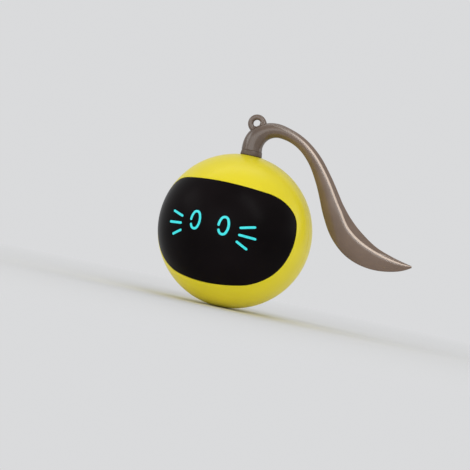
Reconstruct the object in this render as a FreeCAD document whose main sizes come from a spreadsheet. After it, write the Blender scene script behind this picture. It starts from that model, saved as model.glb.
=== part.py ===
import FreeCAD, Part
import Sketcher
import math
import os
import re

# Self-rolling cat ball. Millimetres. The ball is modelled about its own centre, with
# +Z up through the tail socket and the face towards -Y. Every sub-part is then lifted
# by one ball radius, so the origin is the point where the ball touches the floor.

Vector = FreeCAD.Vector
os.makedirs("parts", exist_ok=True)
doc = FreeCAD.newDocument("CatBall")

# Driving dimensions
DRIVING = {
    "ball_radius": 32.0,
    "shell_wall": 2.0,
    "clear_reach": 4.0,
    "overcut": 1.0,
    "overlap": 0.5,
    "seam_lip_height": 1.5,
    "seam_lip_wall": 0.9,
    "seam_gap": 0.1,
    "groove_inset": 0.01,
    "window_half_width": 30.0,
    "window_mid": 1.1,
    "window_top": 18.55,
    "window_bottom": 22.85,
    "window_side_radius": 27.0,
    "window_top_radius": 150.0,
    "window_bottom_radius": 61.5,
    "window_upper_corner": 13.1,
    "window_lower_corner": 20.8,
    "lens_gap": 0.08,
    "lens_wall": 2.15,
    "lens_flange": 1.4,
    "lens_flange_inner": 2.5,
    "lens_flange_wall": 1.0,
    "lens_flange_depth": 8.0,
    "stroke_width": 0.95,
    "stroke_gap": 0.03,
    "eye_spread": 6.15,
    "eye_height": 1.1,
    "eye_half_width": 2.0,
    "eye_half_height": 3.5,
    "eye_end_radius": 1.5,
    "eye_gap_start": 0.0,
    "eye_gap_end": 2.05,
    "guide_wall": 0.9,
    "guide_gap": 0.1,
    "guide_depth": 10.0,
    "guide_half_width": 20.0,
    "guide_top": 7.5,
    "guide_bottom": 9.0,
    "baffle_half_width": 17.0,
    "baffle_top": 6.5,
    "baffle_bottom": 7.0,
    "baffle_wall": 1.0,
    "baffle_gap": 0.2,
    "display_half_width": 14.0,
    "display_top": 7.0,
    "display_bottom": 11.0,
    "display_front": 22.5,
    "led_half_width": 0.8,
    "led_half_height": 0.4,
    "led_thickness": 0.7,
    "board_thickness": 1.2,
    "main_board_half_width": 13.5,
    "main_board_half_height": 10.0,
    "main_board_front": 20.6,
    "plate_left_outer": 13.4,
    "plate_left_inner": 11.6,
    "plate_right_inner": 4.0,
    "plate_right_outer": 6.0,
    "plate_corner": 3.0,
    "frame_gap": 0.3,
    "post_radius": 1.6,
    "board_post_root": 15.3,
    "display_post_root": 14.0,
    "cover_post_radius": 1.8,
    "tab_bottom": 15.0,
    "bridge_bottom": 21.7,
    "bridge_top": 24.6,
    "bridge_half_depth": 1.5,
    "tray_top": 14.0,
    "tray_bottom": 15.6,
    "tray_half_depth": 14.0,
    "tray_wall_inner": 8.7,
    "tray_wall_outer": 9.9,
    "tray_wall_bottom": 19.5,
    "tray_wall_inset": 1.0,
    "ear_inner": 8.9,
    "ear_outer": 12.3,
    "screw_upper_x": 11.4,
    "screw_upper_z": 23.15,
    "screw_lower_x": 10.6,
    "screw_lower_z": 25.6,
    "boss_front_radius": 2.0,
    "boss_rear_radius": 3.0,
    "boss_gap": 0.1,
    "screw_radius": 1.0,
    "screw_pilot_radius": 1.02,
    "screw_clear_radius": 1.15,
    "screw_head_radius": 1.9,
    "screw_head_height": 1.3,
    "screw_seat": 7.5,
    "screw_reach": 5.5,
    "counterbore_radius": 2.15,
    "recess_half_length": 1.1,
    "recess_half_width": 0.2,
    "recess_depth": 0.8,
    "small_screw_radius": 0.7,
    "small_screw_length": 4.5,
    "small_head_radius": 1.3,
    "small_head_height": 0.7,
    "small_clear_radius": 0.85,
    "small_pilot_depth": 5.0,
    "cover_screw_length": 5.0,
    "cover_head_radius": 1.4,
    "cover_head_height": 0.5,
    "cover_clear_radius": 0.9,
    "weight_screw_radius": 0.8,
    "weight_screw_length": 4.0,
    "weight_head_radius": 2.6,
    "weight_head_height": 1.2,
    "module_size": 0.5,
    "gear_addendum": 0.9,
    "gear_dedendum": 1.25,
    "gear_backlash": 0.12,
    "gear_width": 1.7,
    "gear_layer_gap": 0.3,
    "gear_stack_start": 6.4,
    "axle_radius": 1.5,
    "axle_half_length": 20.2,
    "axle_clearance": 0.5,
    "axle_flat_depth": 0.4,
    "axle_flat_lead": 0.4,
    "axle_thread_depth": 4.5,
    "bush_wall": 1.0,
    "bush_flange_wall": 2.0,
    "bush_flange_thickness": 0.5,
    "pin_radius": 0.75,
    "pin_recess": 0.2,
    "running_gap": 0.05,
    "cover_inner": 12.4,
    "cover_outer": 13.6,
    "cover_corner": 2.3,
    "weight_inner": 14.2,
    "weight_thickness": 6.0,
    "weight_radius": 19.5,
    "weight_hub_radius": 4.0,
    "motor_radius": 6.0,
    "motor_flat": 5.0,
    "motor_back": 9.4,
    "motor_cap_back": 11.3,
    "motor_front": 3.9,
    "motor_shaft_radius": 0.5,
    "motor_nose_radius": 2.0,
    "motor_nose_height": 1.0,
    "motor_cap_step": 0.3,
    "motor_screw_spread": 4.5,
    "motor_screw_radius": 0.8,
    "motor_screw_grip": 1.6,
    "motor_head_radius": 1.3,
    "motor_head_height": 0.35,
    "motor_clear_radius": 0.9,
    "motor_thread_depth": 2.0,
    "terminal_spread": 3.5,
    "terminal_half_width": 0.75,
    "terminal_half_height": 1.0,
    "terminal_lift": 0.1,
    "battery_half_width": 8.5,
    "battery_half_depth": 12.5,
    "battery_top": 16.0,
    "battery_thickness": 6.0,
    "battery_rounding": 1.2,
    "tape_margin": 1.5,
    "usb_height": 4.0,
    "usb_half_width": 4.47,
    "usb_half_height": 1.63,
    "usb_mouth": 28.9,
    "usb_slot_gap": 0.3,
    "usb_wall": 0.3,
    "usb_back": 1.0,
    "tongue_half_width": 3.35,
    "tongue_half_height": 0.35,
    "tongue_recess": 0.8,
    "button_height": 6.0,
    "button_radius": 3.25,
    "button_gap": 0.1,
    "button_base": 27.0,
    "button_flange_radius": 4.0,
    "button_flange_thickness": 0.9,
    "button_flange_lift": 0.2,
    "switch_half_width": 3.0,
    "switch_depth": 3.5,
    "plunger_radius": 1.7,
    "plunger_gap": 0.1,
    "plunger_well": 1.2,
    "plunger_sunk": 0.6,
    "neck_radius": 3.2,
    "neck_gap": 0.1,
    "socket_radius": 6.5,
    "socket_bottom": 28.6,
    "spotface_level": 31.55,
    "spotface_gap": 0.25,
    "collar_bottom": 31.65,
    "collar_top": 33.85,
    "collar_bottom_radius": 4.55,
    "collar_top_radius": 4.3,
    "collar_flange_radius": 4.6,
    "collar_flange_thickness": 1.2,
    "stud_radius": 2.3,
    "stud_barb_radius": 2.5,
    "stud_length": 5.0,
    "stud_flat": 1.8,
    "stud_gap": 0.12,
    "stud_point": 0.4,
    "barb_foot": 1.6,
    "barb_edge": 1.5,
    "bore_gap": 0.1,
    "bore_spare": 0.5,
    "tail_turn": 10.0,
    "loop_centre_x": -0.27,
    "loop_centre_z": 45.4,
    "loop_outer_radius": 3.8,
    "loop_hole_radius": 1.5,
    "loop_thickness": 2.6,
    "loop_rounding": 0.8,
    "loop_relief": 0.4,
}

sheet = doc.addObject("Spreadsheet::Sheet", "Sizes")
for row, (alias, value) in enumerate(DRIVING.items(), start=1):
    sheet.set(f"A{row}", alias)
    sheet.set(f"B{row}", str(value))
    sheet.setAlias(f"B{row}", alias)
doc.recompute()


def size(alias):
    """The value of one cell of the sheet."""
    return float(getattr(sheet, alias))


def express(formula):
    """Turns a formula in plain cell names into one the document understands."""
    def cell(match):
        word = match.group(0)
        return f"Sizes.{word}" if word in DRIVING else word
    return re.sub(r"[a-z][a-z_]*", cell, str(formula))


def value_of(formula):
    """Works a formula in plain cell names out as a number."""
    return float(sheet.evalExpression(express(formula)))


def bind(obj, **formulas):
    """Binds properties to formulas; a double underscore stands for a dot."""
    for name, formula in formulas.items():
        obj.setExpression(name.replace("__", "."), express(formula))
    return obj


# Parts from primitives and booleans
def sphere(name, radius):
    return bind(doc.addObject("Part::Sphere", name), Radius=radius)


def block(name, x, y, z):
    """A box between the low and high formulas of each axis."""
    box = doc.addObject("Part::Box", name)
    length, width, height = [f"({high}) - ({low})" for low, high in (x, y, z)]
    bind(box, Length=length, Width=width, Height=height)
    return bind(box, Placement__Base__x=x[0], Placement__Base__y=y[0], Placement__Base__z=z[0])


TURNS = {
    "X": FreeCAD.Rotation(Vector(0, 1, 0), 90),
    "Y": FreeCAD.Rotation(Vector(1, 0, 0), -90),
    "Z": FreeCAD.Rotation(),
}


def rod(name, axis, radius, low, high, at):
    """A cylinder along one axis from low to high, through the other two coordinates."""
    cylinder = doc.addObject("Part::Cylinder", name)
    cylinder.Placement = FreeCAD.Placement(Vector(), TURNS[axis])
    bind(cylinder, Radius=radius, Height=f"({high}) - ({low})")
    others = [letter for letter in "xyz" if letter != axis.lower()]
    bind(cylinder, **{f"Placement__Base__{axis.lower()}": low})
    return bind(cylinder, **{f"Placement__Base__{o}": v for o, v in zip(others, at)})


def fuse(name, *pieces):
    union = doc.addObject("Part::MultiFuse", name)
    union.Shapes = list(pieces)
    return union


def common(name, *pieces):
    overlap = doc.addObject("Part::MultiCommon", name)
    overlap.Shapes = list(pieces)
    return overlap


def cut(name, base, *tools):
    tool = tools[0] if len(tools) == 1 else fuse(f"{name}_tools", *tools)
    difference = doc.addObject("Part::Cut", name)
    difference.Base = base
    difference.Tool = tool
    return difference


def group(name, *pieces):
    together = doc.addObject("Part::Compound", name)
    together.Links = list(pieces)
    return together


def offset_outline(name, source, distance):
    """A closed outline moved outwards, or an open line widened on both sides, with round joins."""
    moved = doc.addObject("Part::Offset2D", name)
    moved.Source = source
    moved.Mode = "Pipe"
    moved.Join = "Arc"
    return bind(moved, Value=distance)


def thrown(name, outline, direction, length):
    """A flat outline carried along a direction into a solid."""
    solid = doc.addObject("Part::Extrusion", name)
    solid.Base = outline
    solid.DirMode = "Custom"
    solid.Dir = direction
    solid.Solid = True
    return bind(solid, LengthFwd=length)


# Sketches
def sketch_geometry(sketch, formulas):
    """Closes straight lines through points, each coordinate bound to its formula."""
    count = len(formulas)
    first = sketch.GeometryCount
    points = [Vector(value_of(x), value_of(y), 0) for x, y in formulas]
    for i in range(count):
        sketch.addGeometry(Part.LineSegment(points[i], points[(i + 1) % count]), False)
    for i in range(count):
        sketch.addConstraint(Sketcher.Constraint("Coincident", first + i, 2, first + (i + 1) % count, 1))
    for i, (x, y) in enumerate(formulas):
        for kind, formula in (("DistanceX", x), ("DistanceY", y)):
            where = Sketcher.Constraint(kind, -1, 1, first + i, 1, value_of(formula))
            index = sketch.addConstraint(where)
            sketch.setExpression(f"Constraints[{index}]", express(formula))


def sketch_circle(sketch, x, y, radius):
    """A circle whose centre and radius are bound to formulas."""
    circle = Part.Circle(Vector(value_of(x), value_of(y), 0), Vector(0, 0, 1), value_of(radius))
    place = sketch.addGeometry(circle, False)
    for kind, formula in (("DistanceX", x), ("DistanceY", y)):
        index = sketch.addConstraint(Sketcher.Constraint(kind, -1, 1, place, 3, value_of(formula)))
        sketch.setExpression(f"Constraints[{index}]", express(formula))
    index = sketch.addConstraint(Sketcher.Constraint("Radius", place, value_of(radius)))
    sketch.setExpression(f"Constraints[{index}]", express(radius))


FACING = {
    "XZ": FreeCAD.Rotation(Vector(1, 0, 0), 90),
    "YZ": FreeCAD.Rotation(Vector(1, 1, 1), 120),
}


def free_sketch(name, plane, level="0"):
    """A sketch that stands on its own: XZ faces -Y, YZ faces +X."""
    sketch = doc.addObject("Sketcher::SketchObject", name)
    sketch.Placement = FreeCAD.Placement(Vector(), FACING[plane])
    axis = {"XZ": "y", "YZ": "x"}[plane]
    return bind(sketch, **{f"Placement__Base__{axis}": level})


def body_sketch(body, plane, name, lift="0"):
    """A sketch on one of the body's own origin planes, lifted along its normal."""
    support = next(f for f in body.Origin.OriginFeatures if f.Role == f"{plane}_Plane")
    sketch = body.newObject("Sketcher::SketchObject", name)
    sketch.AttachmentSupport = [(support, "")]
    sketch.MapMode = "FlatFace"
    return bind(sketch, AttachmentOffset__Base__z=lift)


def pad(body, sketch, length):
    feature = body.newObject("PartDesign::Pad", f"{sketch.Name}_pad")
    feature.Profile = sketch
    sketch.Visibility = False
    return bind(feature, Length=length)


def pocket(body, sketch, length, reverse=False):
    feature = body.newObject("PartDesign::Pocket", f"{sketch.Name}_pocket")
    feature.Profile = sketch
    feature.Reversed = reverse
    return bind(feature, Length=length)


def revolve(body, sketch, axis="V_Axis"):
    feature = body.newObject("PartDesign::Revolution", f"{sketch.Name}_turn")
    feature.Profile = sketch
    feature.ReferenceAxis = (sketch, [axis])
    feature.Angle = 360
    return feature


def turned(name, profile, axis="Z"):
    """A body turned about an axis from (radius, level) points."""
    body = doc.addObject("PartDesign::Body", name)
    plane = {"Z": "XZ", "X": "XY", "Y": "XY"}[axis]
    sketch = body_sketch(body, plane, f"{name}_profile")
    if axis == "X":
        sketch_geometry(sketch, [(level, radius) for radius, level in profile])
        revolve(body, sketch, "H_Axis")
    else:
        sketch_geometry(sketch, profile)
        revolve(body, sketch)
    return body


SUBPARTS = []


def finish(obj, label, x="0", y="0", z="0"):
    """Names a sub-part and lifts it from ball-centred to floor-based coordinates."""
    obj.Label = label
    bind(obj, Placement__Base__x=x, Placement__Base__y=y, Placement__Base__z=f"ball_radius + ({z})")
    SUBPARTS.append(obj)
    return obj


# Window outline of the face, in the plane that the face looks at
def window_sketch():
    """Eight tangent arcs: top, bottom, two sides and four corners."""
    half, mid = size("window_half_width"), size("window_mid")
    side = size("window_side_radius")
    top_arc, bottom_arc = size("window_top_radius"), size("window_bottom_radius")
    top_centre = Vector(0, size("window_top") - top_arc, 0)
    bottom_centre = Vector(0, bottom_arc - size("window_bottom"), 0)
    sketch = free_sketch("window_outline", "XZ")

    def corner(radius, edge_centre, edge_radius):
        """Centre of the arc that lies inside both the right side arc and the top or bottom arc."""
        side_centre = Vector(half - side, mid, 0)
        reach_side, reach_edge = side - radius, edge_radius - radius
        gap = edge_centre - side_centre
        along = (reach_side ** 2 - reach_edge ** 2 + gap.Length ** 2) / (2 * gap.Length)
        across = math.sqrt(reach_side ** 2 - along ** 2)
        unit = gap / gap.Length
        square = Vector(-unit.y, unit.x, 0) * across
        found = [side_centre + unit * along + square, side_centre + unit * along - square]
        return max(found, key=lambda point: point.x)

    def meeting(big_centre, small_centre, small_radius):
        """Point where the small arc touches the big one from inside."""
        outward = small_centre - big_centre
        return small_centre + outward / outward.Length * small_radius

    def arc(centre, radius, start, end):
        first = math.atan2(start.y - centre.y, start.x - centre.x)
        last = math.atan2(end.y - centre.y, end.x - centre.x)
        return Part.ArcOfCircle(Part.Circle(centre, Vector(0, 0, 1), radius), first, last)

    upper, lower = size("window_upper_corner"), size("window_lower_corner")
    right, left = Vector(half - side, mid, 0), Vector(side - half, mid, 0)
    upper_right = corner(upper, top_centre, top_arc)
    lower_right = corner(lower, bottom_centre, bottom_arc)

    def mirror(point):
        return Vector(-point.x, point.y, 0)

    joints = {
        "ur_side": meeting(right, upper_right, upper),
        "ur_top": meeting(top_centre, upper_right, upper),
        "lr_side": meeting(right, lower_right, lower),
        "lr_bottom": meeting(bottom_centre, lower_right, lower),
    }
    arcs = [
        (right, side, joints["lr_side"], joints["ur_side"]),
        (upper_right, upper, joints["ur_side"], joints["ur_top"]),
        (top_centre, top_arc, joints["ur_top"], mirror(joints["ur_top"])),
        (mirror(upper_right), upper, mirror(joints["ur_top"]), mirror(joints["ur_side"])),
        (left, side, mirror(joints["ur_side"]), mirror(joints["lr_side"])),
        (mirror(lower_right), lower, mirror(joints["lr_side"]), mirror(joints["lr_bottom"])),
        (bottom_centre, bottom_arc, mirror(joints["lr_bottom"]), joints["lr_bottom"]),
        (lower_right, lower, joints["lr_bottom"], joints["lr_side"]),
    ]
    for centre, radius, start, end in arcs:
        sketch.addGeometry(arc(centre, radius, start, end), False)
    for i in range(len(arcs)):
        sketch.addConstraint(Sketcher.Constraint("Tangent", i, 2, (i + 1) % len(arcs), 1))
    radii = ["window_side_radius", "window_upper_corner", "window_top_radius", "window_upper_corner",
             "window_side_radius", "window_lower_corner", "window_bottom_radius", "window_lower_corner"]
    for i, alias in enumerate(radii):
        index = sketch.addConstraint(Sketcher.Constraint("Radius", i, size(alias)))
        sketch.setExpression(f"Constraints[{index}]", express(alias))
    centres = [
        (0, "window_half_width - window_side_radius", "window_mid"),
        (4, "window_side_radius - window_half_width", "window_mid"),
        (2, "0", "window_top - window_top_radius"),
        (6, "0", "window_bottom_radius - window_bottom"),
    ]
    for place, x, y in centres:
        for kind, formula in (("DistanceX", x), ("DistanceY", y)):
            index = sketch.addConstraint(Sketcher.Constraint(kind, -1, 1, place, 3, value_of(formula)))
            sketch.setExpression(f"Constraints[{index}]", express(formula))
    return sketch


FORWARD = Vector(0, -1, 0)
window = window_sketch()
BEYOND = "ball_radius + clear_reach"
NEAR = "-(ball_radius + clear_reach)"
INSIDE_WALL = "ball_radius - 3 * shell_wall"


# Casing
def hollow_ball(name, inner, outer):
    return cut(name, sphere(f"{name}_outer", outer), sphere(f"{name}_inner", inner))


def half_space(name, front):
    y = (NEAR, "0") if front else ("0", BEYOND)
    return block(name, (NEAR, BEYOND), y, (NEAR, BEYOND))


SCREWS = [
    ("left_upper", "-screw_upper_x", "screw_upper_z"),
    ("right_upper", "screw_upper_x", "screw_upper_z"),
    ("left_lower", "-screw_lower_x", "-screw_lower_z"),
    ("right_lower", "screw_lower_x", "-screw_lower_z"),
]
WALL_MIDDLE = "ball_radius - shell_wall / 2"


def casing_blank():
    """Hollow ball with the thickened seat of the tail socket, before it is split."""
    wall = hollow_ball("casing_wall", "ball_radius - shell_wall", "ball_radius")
    seat = common("socket_seat", sphere("socket_seat_limit", WALL_MIDDLE),
                  rod("socket_seat_round", "Z", "socket_radius", "socket_bottom", "ball_radius", ("0", "0")))
    neck_hole = rod("neck_hole", "Z", "neck_radius + neck_gap", "socket_bottom - overcut", BEYOND, ("0", "0"))
    spotface = rod("spotface", "Z", "collar_bottom_radius + spotface_gap", "spotface_level", BEYOND,
                   ("0", "0"))
    return fuse("casing_blank", wall, seat), neck_hole, spotface


def screw_bosses(name, front):
    """Four posts that stand on the inside of one shell, up to the frame's ears."""
    side = -1 if front else 1
    radius = "boss_front_radius" if front else "boss_rear_radius"
    near, far = "bridge_half_depth + boss_gap", "ball_radius"
    low, high = (near, far) if side > 0 else (f"-({far})", f"-({near})")
    posts = [rod(f"{name}_{label}", "Y", radius, low, high, (x, z)) for label, x, z in SCREWS]
    return common(name, sphere(f"{name}_limit", WALL_MIDDLE), fuse(f"{name}_posts", *posts))


def front_shell(blank, neck_hole, spotface):
    half = common("front_half", blank, half_space("front_space", True))
    lip_ring = hollow_ball("lip_ring", "ball_radius - shell_wall", "ball_radius - shell_wall + seam_lip_wall")
    lip_band = block("lip_band", (NEAR, BEYOND), ("-overcut", "seam_lip_height"), (NEAR, BEYOND))
    lip = common("seam_lip", lip_ring, lip_band)
    opening = thrown("window_cutter", window, FORWARD, BEYOND)
    pilots = [rod(f"pilot_{label}", "Y", "screw_pilot_radius", "-(screw_reach + overcut)", "0", (x, z))
              for label, x, z in SCREWS]
    solid = fuse("front_solid", half, lip, screw_bosses("front_bosses", True))
    return finish(cut("front_shell", solid, opening, neck_hole, spotface, *pilots), "front_shell")


def rear_shell(blank, neck_hole, spotface):
    half = common("rear_half", blank, half_space("rear_space", False))
    groove = common("seam_groove",
                    sphere("groove_limit", "ball_radius - shell_wall + seam_lip_wall + seam_gap"),
                    block("groove_band", (NEAR, BEYOND), ("-overcut", "seam_lip_height + seam_gap"),
                          (NEAR, BEYOND)))
    groove_ring = cut("groove_ring", groove, sphere("groove_core", "ball_radius - shell_wall - groove_inset"))
    holes = []
    for label, x, z in SCREWS:
        holes.append(rod(f"clear_{label}", "Y", "screw_clear_radius", "0", BEYOND, (x, z)))
        holes.append(rod(f"counterbore_{label}", "Y", "counterbore_radius", "screw_seat", BEYOND, (x, z)))
    button_hole = rod("button_hole", "Y", "button_radius + button_gap", INSIDE_WALL, BEYOND,
                      ("0", "button_height"))
    solid = fuse("rear_solid", half, screw_bosses("rear_bosses", False))
    shell = cut("rear_shell", solid, groove_ring, neck_hole, spotface, usb_slot(), button_hole, *holes)
    return finish(shell, "rear_shell")


def usb_slot():
    """Stadium-shaped hole through the rear wall, in front of the socket's mouth."""
    radius, reach = "usb_half_height + usb_slot_gap", "usb_half_width - usb_half_height"
    ends = [rod(f"usb_slot_{side}", "Y", radius, INSIDE_WALL, BEYOND, (f"{sign}({reach})", "-usb_height"))
            for side, sign in (("left", "-"), ("right", "+"))]
    middle = block("usb_slot_middle", (f"-({reach})", reach), (INSIDE_WALL, BEYOND),
                   (f"-usb_height - ({radius})", f"-usb_height + ({radius})"))
    return fuse("usb_slot", middle, *ends)


# Face
WHISKERS = {
    "top": ((12.8, 1.65), (17.6, 2.97)),
    "middle": ((12.85, -1.25), (18.5, -1.62)),
    "bottom": ((12.35, -4.15), (16.0, -6.22)),
}


def eye_line(name, x):
    """Centre line of one eye: an oval of four tangent arcs with a gap in its left side."""
    half, height, end = size("eye_half_width"), size("eye_half_height"), size("eye_end_radius")
    drop = height - end
    side = (drop ** 2 + half ** 2 - end ** 2) / (2 * (half - end))
    level = size("eye_height")
    tilt = math.atan2(drop, side - half)
    sketch = free_sketch(name, "XZ")

    def arc(cx, cz, radius, first, last):
        circle = Part.Circle(Vector(x + cx, level + cz, 0), Vector(0, 0, 1), radius)
        sketch.addGeometry(Part.ArcOfCircle(circle, first, last), False)

    gap_top = math.asin(size("eye_gap_start") / side)
    gap_low = math.asin(size("eye_gap_end") / side)
    arc(half - side, 0, side, -tilt, tilt)
    arc(0, drop, end, tilt, math.pi - tilt)
    arc(side - half, 0, side, math.pi - tilt, math.pi - gap_top)
    arc(0, -drop, end, math.pi + tilt, 2 * math.pi - tilt)
    if gap_low < tilt:
        arc(side - half, 0, side, math.pi + gap_low, math.pi + tilt)
    return sketch


def whisker_outline(name, sign, ends, half_width):
    """A round-ended slot between two points."""
    sketch = free_sketch(name, "XZ")
    start, end = [Vector(sign * x, z, 0) for x, z in ends]
    along = (end - start) / (end - start).Length
    across = Vector(-along.y, along.x, 0) * value_of(half_width)
    heading = math.atan2(along.y, along.x)
    quarter = math.pi / 2
    normal = Vector(0, 0, 1)
    sketch.addGeometry(Part.LineSegment(start - across, end - across), False)
    cap = Part.Circle(end, normal, value_of(half_width))
    sketch.addGeometry(Part.ArcOfCircle(cap, heading - quarter, heading + quarter), False)
    sketch.addGeometry(Part.LineSegment(end + across, start + across), False)
    cap = Part.Circle(start, normal, value_of(half_width))
    sketch.addGeometry(Part.ArcOfCircle(cap, heading + quarter, heading + 3 * quarter), False)
    for first, second in ((0, 1), (1, 2), (2, 3), (3, 0)):
        sketch.addConstraint(Sketcher.Constraint("Tangent", first, 2, second, 1))
    for place, point in ((1, end), (3, start)):
        for kind, where in (("DistanceX", point.x), ("DistanceY", point.y)):
            sketch.addConstraint(Sketcher.Constraint(kind, -1, 1, place, 3, where))
    index = sketch.addConstraint(Sketcher.Constraint("Radius", 1, value_of(half_width)))
    sketch.setExpression(f"Constraints[{index}]", express(half_width))
    return sketch


def stroke_prisms(name, extra):
    """Eyes and whiskers with round ends, carried forward out of the ball."""
    half_width = f"stroke_width / 2 + {extra}"
    outlines = []
    for side, sign in (("left", -1), ("right", 1)):
        line = eye_line(f"{name}_eye_line_{side}", sign * size("eye_spread"))
        outlines.append(offset_outline(f"{name}_eye_{side}", line, half_width))
        for level, ends in WHISKERS.items():
            outlines.append(whisker_outline(f"{name}_whisker_{side}_{level}", sign, ends, half_width))
    return [thrown(f"{outline.Name}_prism", outline, FORWARD, BEYOND) for outline in outlines]


def visor_lens():
    inner = "ball_radius - lens_wall"
    face = thrown("lens_prism", offset_outline("lens_outline", window, "-lens_gap"), FORWARD, BEYOND)
    lens = common("lens_shell", hollow_ball("lens_ball", inner, "ball_radius"), face)
    flange_outer = offset_outline("flange_outline", window, "lens_flange")
    flange_inner = offset_outline("flange_inner", window, "-lens_flange_inner")
    rim_outer = thrown("flange_prism", flange_outer, FORWARD, BEYOND)
    rim_inner = thrown("flange_core", flange_inner, FORWARD, BEYOND)
    under_wall = "ball_radius - shell_wall - lens_gap"
    ring = hollow_ball("flange_ball", f"{under_wall} - lens_flange_wall", under_wall)
    front_only = block("flange_depth", (NEAR, BEYOND), (NEAR, "-lens_flange_depth"), (NEAR, BEYOND))
    flange = cut("lens_flange", common("flange_band", ring, rim_outer, front_only), rim_inner)
    slots = stroke_prisms("slot", "stroke_gap")
    return finish(cut("visor_lens", fuse("lens_solid", lens, flange), *slots), "visor_lens")


def light_guide():
    """Thin curved plate behind the lens, with the lit strokes standing up through its slots."""
    outer = "ball_radius - lens_wall - guide_gap"
    plate = common("guide_plate", hollow_ball("guide_ball", f"{outer} - guide_wall", outer),
                   block("guide_area", ("-guide_half_width", "guide_half_width"), (NEAR, "-guide_depth"),
                         ("-guide_bottom", "guide_top")))
    strokes = common("guide_strokes", hollow_ball("stroke_ball", f"{outer} - guide_wall / 2", "ball_radius"),
                     fuse("stroke_prisms", *stroke_prisms("stroke", "0")))
    return finish(fuse("light_guide", plate, strokes), "light_guide")


# Low and high distance of the light cells from the middle: one for an eye, one for the whiskers
CELL_SPANS = ((0.5, 9.4), (10.4, 16.0))


def light_baffle():
    """Opaque block that keeps the light of each eye and each set of whiskers apart."""
    limit = sphere("baffle_limit", "ball_radius - lens_wall - guide_gap - guide_wall - baffle_gap")
    body = common("baffle_block", limit,
                  block("baffle_box", ("-baffle_half_width", "baffle_half_width"), (NEAR, "-display_front"),
                        ("-baffle_bottom", "baffle_top")))
    cells = []
    for side, sign in (("left", -1), ("right", 1)):
        for number, (near, far) in enumerate(CELL_SPANS):
            low, high = sorted((sign * near, sign * far))
            cells.append(block(f"cell_{side}_{number}", (low, high), (NEAR, "0"),
                               ("baffle_wall - baffle_bottom", "baffle_top - baffle_wall")))
    return finish(cut("light_baffle", body, *cells), "light_baffle")


def display_board():
    body = doc.addObject("PartDesign::Body", "display_board")
    sketch = body_sketch(body, "XZ", "display_outline", "display_front - board_thickness")
    left, right, low, high = "-display_half_width", "display_half_width", "-display_bottom", "display_top"
    sketch_geometry(sketch, [(left, low), (right, low), (right, high), (left, high)])
    pad(body, sketch, "board_thickness")
    holes = body_sketch(body, "XZ", "display_holes", "display_front")
    for x, z in DISPLAY_POSTS:
        sketch_circle(holes, x, z, "small_clear_radius")
    pocket(body, holes, "board_thickness + overcut")
    return finish(body, "display_board")


DISPLAY_POSTS = [("-12", "-9.3"), ("5", "-9.3")]
LED_PLACES = [(x, z) for x in (-6.15, 6.15) for z in (-1.6, 3.4)] + [
    (x, z) for x in (-13.2, 13.2) for z in (-3.9, -0.4, 3.1)]


def display_leds():
    chips = []
    for number, (x, z) in enumerate(LED_PLACES):
        chips.append(block(f"led_{number}", (f"{x} - led_half_width", f"{x} + led_half_width"),
                           ("-display_front - led_thickness", "-display_front"),
                           (f"{z} - led_half_height", f"{z} + led_half_height")))
    return finish(group("display_leds", *chips), "display_leds")


# Frame
FRAME_OUTLINE = [(-13, -11), (13, -11), (13, 9), (7, 15.5), (-8, 15.5), (-13, 9)]
BOARD_POSTS = [("-11.4", "7.5"), ("5", "-7.5")]
COVER_POSTS = [("12.5", "-3"), ("8.6", "17"), ("-14", "15.5"), ("-8", "-10")]
SECOND_PIN_ANGLE = 160.0
FIRST_PIN_ANGLE = 100.0
MOTOR_ANGLE = -12.0
WHEEL_TEETH = 36
SMALL_TEETH = 12
MOTOR_TEETH = 10


def from_point(point, distance, degrees):
    angle = math.radians(degrees)
    return (point[0] + distance * math.cos(angle), point[1] + distance * math.sin(angle))


# Shaft centres as (y, z), each one gear spacing from the last
STAGE = size("module_size") * (WHEEL_TEETH + SMALL_TEETH) / 2
MOTOR_STAGE = size("module_size") * (WHEEL_TEETH + MOTOR_TEETH) / 2
AXLE = (0.0, 0.0)
SECOND_PIN = from_point(AXLE, STAGE, SECOND_PIN_ANGLE)
FIRST_PIN = from_point(AXLE, STAGE, FIRST_PIN_ANGLE)
MOTOR = from_point(FIRST_PIN, MOTOR_STAGE, MOTOR_ANGLE)


def rounded_plate(name, points, corner, low, high):
    """A plate across X whose outline goes round the points at the corner radius."""
    outline = doc.addObject("Part::Polygon", f"{name}_outline")
    outline.Nodes = [Vector(0, float(y), float(z)) for y, z in points]
    outline.Close = True
    bind(outline, Placement__Base__x=low)
    rounded = offset_outline(f"{name}_rounded", outline, corner)
    return thrown(name, rounded, Vector(1, 0, 0), f"({high}) - ({low})")


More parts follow.
